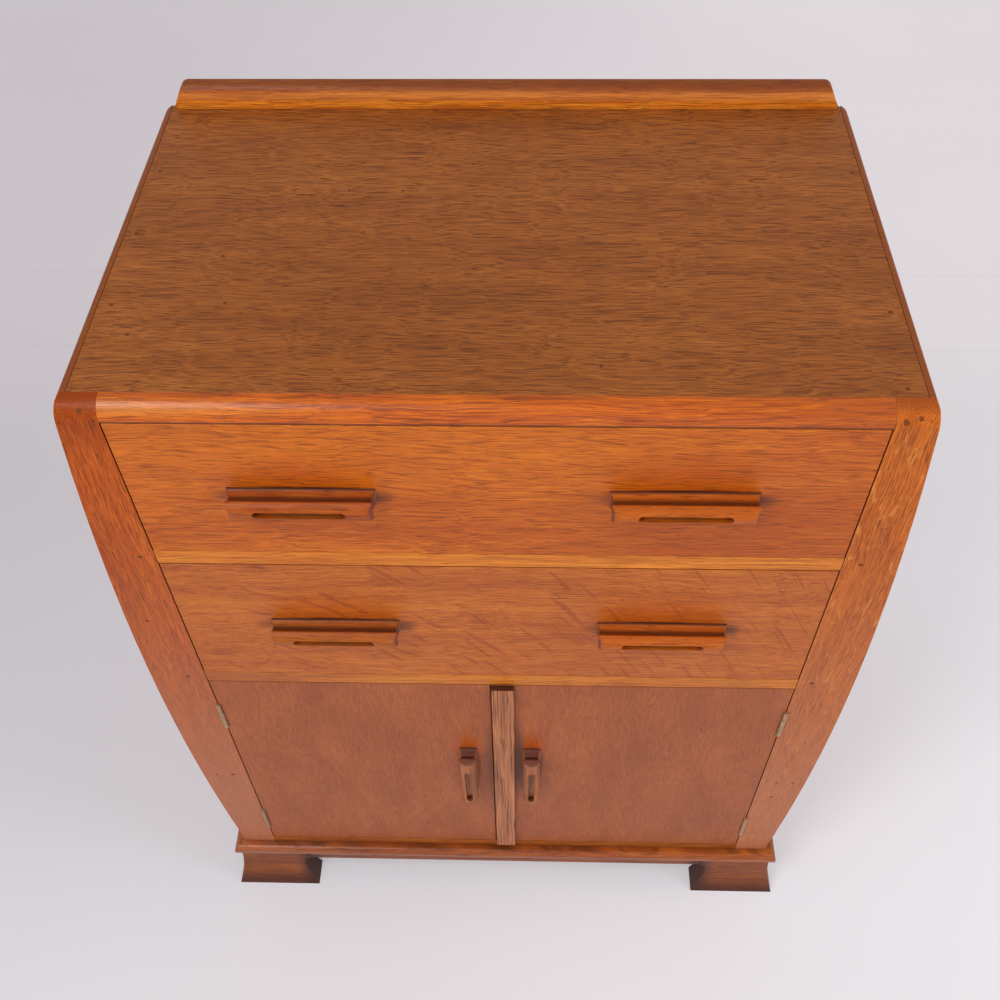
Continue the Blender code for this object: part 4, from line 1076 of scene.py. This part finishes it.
def add_pins(steel, sizes):
    """Panel pins round the back panel, a little in from its edges."""
    low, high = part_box("back_panel")
    outline = sorted(
        {(round(v.co.z, 5), round(v.co.x, 5)) for v in NODES["back_panel"].data.vertices if v.co.x > 0}
    )
    inset = 9 * MM

    def half_width(height):
        for (below, wide), (above, wider) in zip(outline, outline[1:]):
            if below <= height <= above and above > below:
                return wide + (wider - wide) * (height - below) / (above - below)
        return outline[-1][1]

    places = []
    rows = round((high.z - low.z - 2 * inset) / sizes.pin_pitch)
    for row in range(rows + 1):
        height = low.z + inset + (high.z - low.z - 2 * inset) * row / rows
        places += [(side * (half_width(height) - inset), height) for side, _ in SIDES]
    for height in (low.z + inset, high.z - inset):
        reach = half_width(height) - inset
        columns = round(2 * reach / sizes.pin_pitch)
        places += [(-reach + 2 * reach * column / columns, height) for column in range(1, columns)]
    # No pin sits quite in line.
    shape = bmesh.new()
    half = sizes.pin_head / 2
    profile = ((0.5 * half, -0.5 * MM), (half, -0.1 * MM), (0.95 * half, 0.25 * MM), (0.6 * half, 0.4 * MM))
    for across, height in places:
        place = Vector((across + random.uniform(-1, 1) * MM, high.y, height + random.uniform(-1, 1) * MM))
        turned(shape, profile, place, Y, 12)
    add_piece("back_panel_pins", shape, "case", steel)


def add_filled_holes(filler, sizes):
    """Holes on the stiles and the top, filled with wax a hair proud of the wood."""
    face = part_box("front_stile_left")[0].y
    radius = NOSING_RADIUS
    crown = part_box("front_stile_left")[1].z - radius
    spots = []
    for across, height in STILE_HOLES:
        lift = max(0.0, height * MM - crown)
        angle = asin(min(1.0, lift / radius))
        place = Vector((across * MM, face + radius * (1 - cos(angle)), height * MM))
        spots.append((place, Vector((0, -cos(angle), sin(angle)))))
    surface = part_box("top_panel")[1].z
    spots += [(Vector((across * MM, deep * MM, surface)), Z) for across, deep in TOP_HOLES]
    shape = bmesh.new()
    for place, facing in spots:
        half = sizes.plug / 2 * random.uniform(0.7, 1.1)
        uneven = [random.uniform(0.85, 1.1) for _ in range(14)]
        rise = sizes.plug_rise
        profile = (
            (0.8 * half, -0.3 * MM), (half, -0.02 * MM), (0.92 * half, 0.7 * rise), (0.6 * half, rise)
        )
        turned(shape, profile, place, facing, 14, uneven)
    add_piece("filled_holes", shape, "case", filler)


class TALLBOY_OT_fixings(TallboyPiece, bpy.types.Operator):
    """Adds the pulls' screws, the back panel's pins and the filled holes"""

    bl_idname = "tallboy.fixings"
    bl_label = "Screws, pins and filled holes"

    def execute(self, context):
        colours, sizes = context.scene.tallboy_colours, context.scene.tallboy_sizes
        # Plain steel, darkened by age.
        steel = aged_metal("drawn steel, darkened screw", colours.steel, 0.3, 0.42)
        random.seed("fixings")
        carriers = {
            f"{level}_drawer_pull_{hand}": f"{level}_drawer" for level in DRAWERS for _, hand in SIDES
        }
        carriers.update({f"{hand}_door_pull": f"{hand}_door" for _, hand in SIDES})
        for pull, body in carriers.items():
            low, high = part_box(pull)
            front = f"{body}_front" if "drawer" in body else body
            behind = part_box(front)[1].y
            middle = (low + high) / 2
            upright = "door_pull" in pull
            shape = bmesh.new()
            for step in (-1, 1):
                place = Vector((middle.x, behind, middle.z))
                place += (Z if upright else X) * step * PULL_SCREW_REACH
                slotted_head(shape, place, Y, sizes.screw_head, random.uniform(0, pi), 0.7 * MM)
            add_piece(f"{pull}_screws", shape, body, steel)
        add_pins(steel, sizes)
        add_filled_holes(wax_filler(colours), sizes)
        return {"FINISHED"}


class TALLBOY_OT_stage(TallboyPiece, bpy.types.Operator):
    """Makes the floor, the soft light and the camera"""

    bl_idname = "tallboy.stage"
    bl_label = "Stage"

    def execute(self, context):
        scene = context.scene
        colours, sizes = scene.tallboy_colours, scene.tallboy_sizes
        half = sizes.floor / 2
        shape = bmesh.new()
        corners = ((-half, -half), (half, -half), (half, half), (-half, half))
        shape.faces.new([shape.verts.new((x, y, 0.0)) for x, y in corners])
        mesh = bpy.data.meshes.new("floor")
        shape.to_mesh(mesh)
        shape.free()
        floor = bpy.data.objects.new("floor", mesh)
        scene.collection.objects.link(floor)
        floor.data.materials.append(painted_floor(colours, sizes))

        world = bpy.data.worlds.new("studio")
        world.use_nodes = True
        scene.world = world
        world.node_tree.nodes.clear()
        # The room lights the tallboy softly. The camera and reflections see it as a pale backdrop.
        room = add_node(world, "Background", {"Color": rgba(colours.light), "Strength": ROOM_LIGHT})
        backdrop = add_node(world, "Background", {"Color": rgba(colours.beyond), "Strength": 1.0})
        mixed = add_node(world, "MixShader", {0: seen_or_reflected(world), 1: room, 2: backdrop})
        add_node(world, "OutputWorld", {"Surface": mixed})

        for name, place, aim, size, power in LAMPS:
            lamp = bpy.data.lights.new(name, "AREA")
            lamp.shape = "RECTANGLE"
            lamp.size, lamp.size_y = size
            lamp.energy = power
            lamp.color = colours.light
            holder = bpy.data.objects.new(name, lamp)
            holder.location = place
            holder.rotation_mode = "QUATERNION"
            holder.rotation_quaternion = (Vector(aim) - Vector(place)).to_track_quat("-Z", "Y")
            # The fill is a bounce off a wall, which shows no reflection of its own.
            holder.visible_glossy = name != "front_fill"
            scene.collection.objects.link(holder)

        camera = bpy.data.cameras.new("camera")
        camera.sensor_width = 36.0
        camera.lens = CAMERA_FOCAL * camera.sensor_width
        holder = bpy.data.objects.new("camera", camera)
        level_right = Vector((cos(CAMERA_YAW), sin(CAMERA_YAW), 0.0))
        level_ahead = Vector((-sin(CAMERA_YAW), cos(CAMERA_YAW), 0.0))
        ahead = cos(CAMERA_PITCH) * level_ahead - sin(CAMERA_PITCH) * Z
        upward = sin(CAMERA_PITCH) * level_ahead + cos(CAMERA_PITCH) * Z
        right = cos(CAMERA_ROLL) * level_right + sin(CAMERA_ROLL) * upward
        up = -sin(CAMERA_ROLL) * level_right + cos(CAMERA_ROLL) * upward
        turn = Matrix((right, up, -ahead)).transposed().to_4x4()
        holder.matrix_world = Matrix.Translation(CAMERA_PLACE) @ turn
        scene.collection.objects.link(holder)
        scene.camera = holder
        scene.view_settings.view_transform = "Standard"
        return {"FINISHED"}


OPERATORS = (
    TALLBOY_OT_stage,
    TALLBOY_OT_stiles,
    TALLBOY_OT_top,
    TALLBOY_OT_rails,
    TALLBOY_OT_drawers,
    TALLBOY_OT_doors,
    TALLBOY_OT_pulls,
    TALLBOY_OT_plinth,
    TALLBOY_OT_inside,
    TALLBOY_OT_hinges,
    TALLBOY_OT_fixings,
)


class TALLBOY_PT_panel(bpy.types.Panel):
    """Lists the tallboy's pieces, sizes and colours"""

    bl_label = "Tallboy"
    bl_idname = "TALLBOY_PT_panel"
    bl_space_type = "VIEW_3D"
    bl_region_type = "UI"
    bl_category = "Tallboy"

    def draw(self, context):
        layout = self.layout
        for operator in OPERATORS:
            layout.operator(operator.bl_idname)
        for group in (context.scene.tallboy_sizes, context.scene.tallboy_colours):
            column = layout.column()
            for name in group.__annotations__:
                column.prop(group, name)


CLASSES = (TallboySizes, TallboyColours, *OPERATORS, TALLBOY_PT_panel)


def register():
    """Makes the operators, the panel and the tallboy's sizes and colours known to the program."""
    for item in CLASSES:
        bpy.utils.register_class(item)
    bpy.types.Scene.tallboy_sizes = bpy.props.PointerProperty(type=TallboySizes)
    bpy.types.Scene.tallboy_colours = bpy.props.PointerProperty(type=TallboyColours)


def unregister():
    """Takes them away again."""
    del bpy.types.Scene.tallboy_colours
    del bpy.types.Scene.tallboy_sizes
    for item in reversed(CLASSES):
        bpy.utils.unregister_class(item)


def main():
    """Makes everything in order."""
    register()
    for operator in OPERATORS:
        family, name = operator.bl_idname.split(".")
        getattr(getattr(bpy.ops, family), name)()


if __name__ == "__main__":
    main()
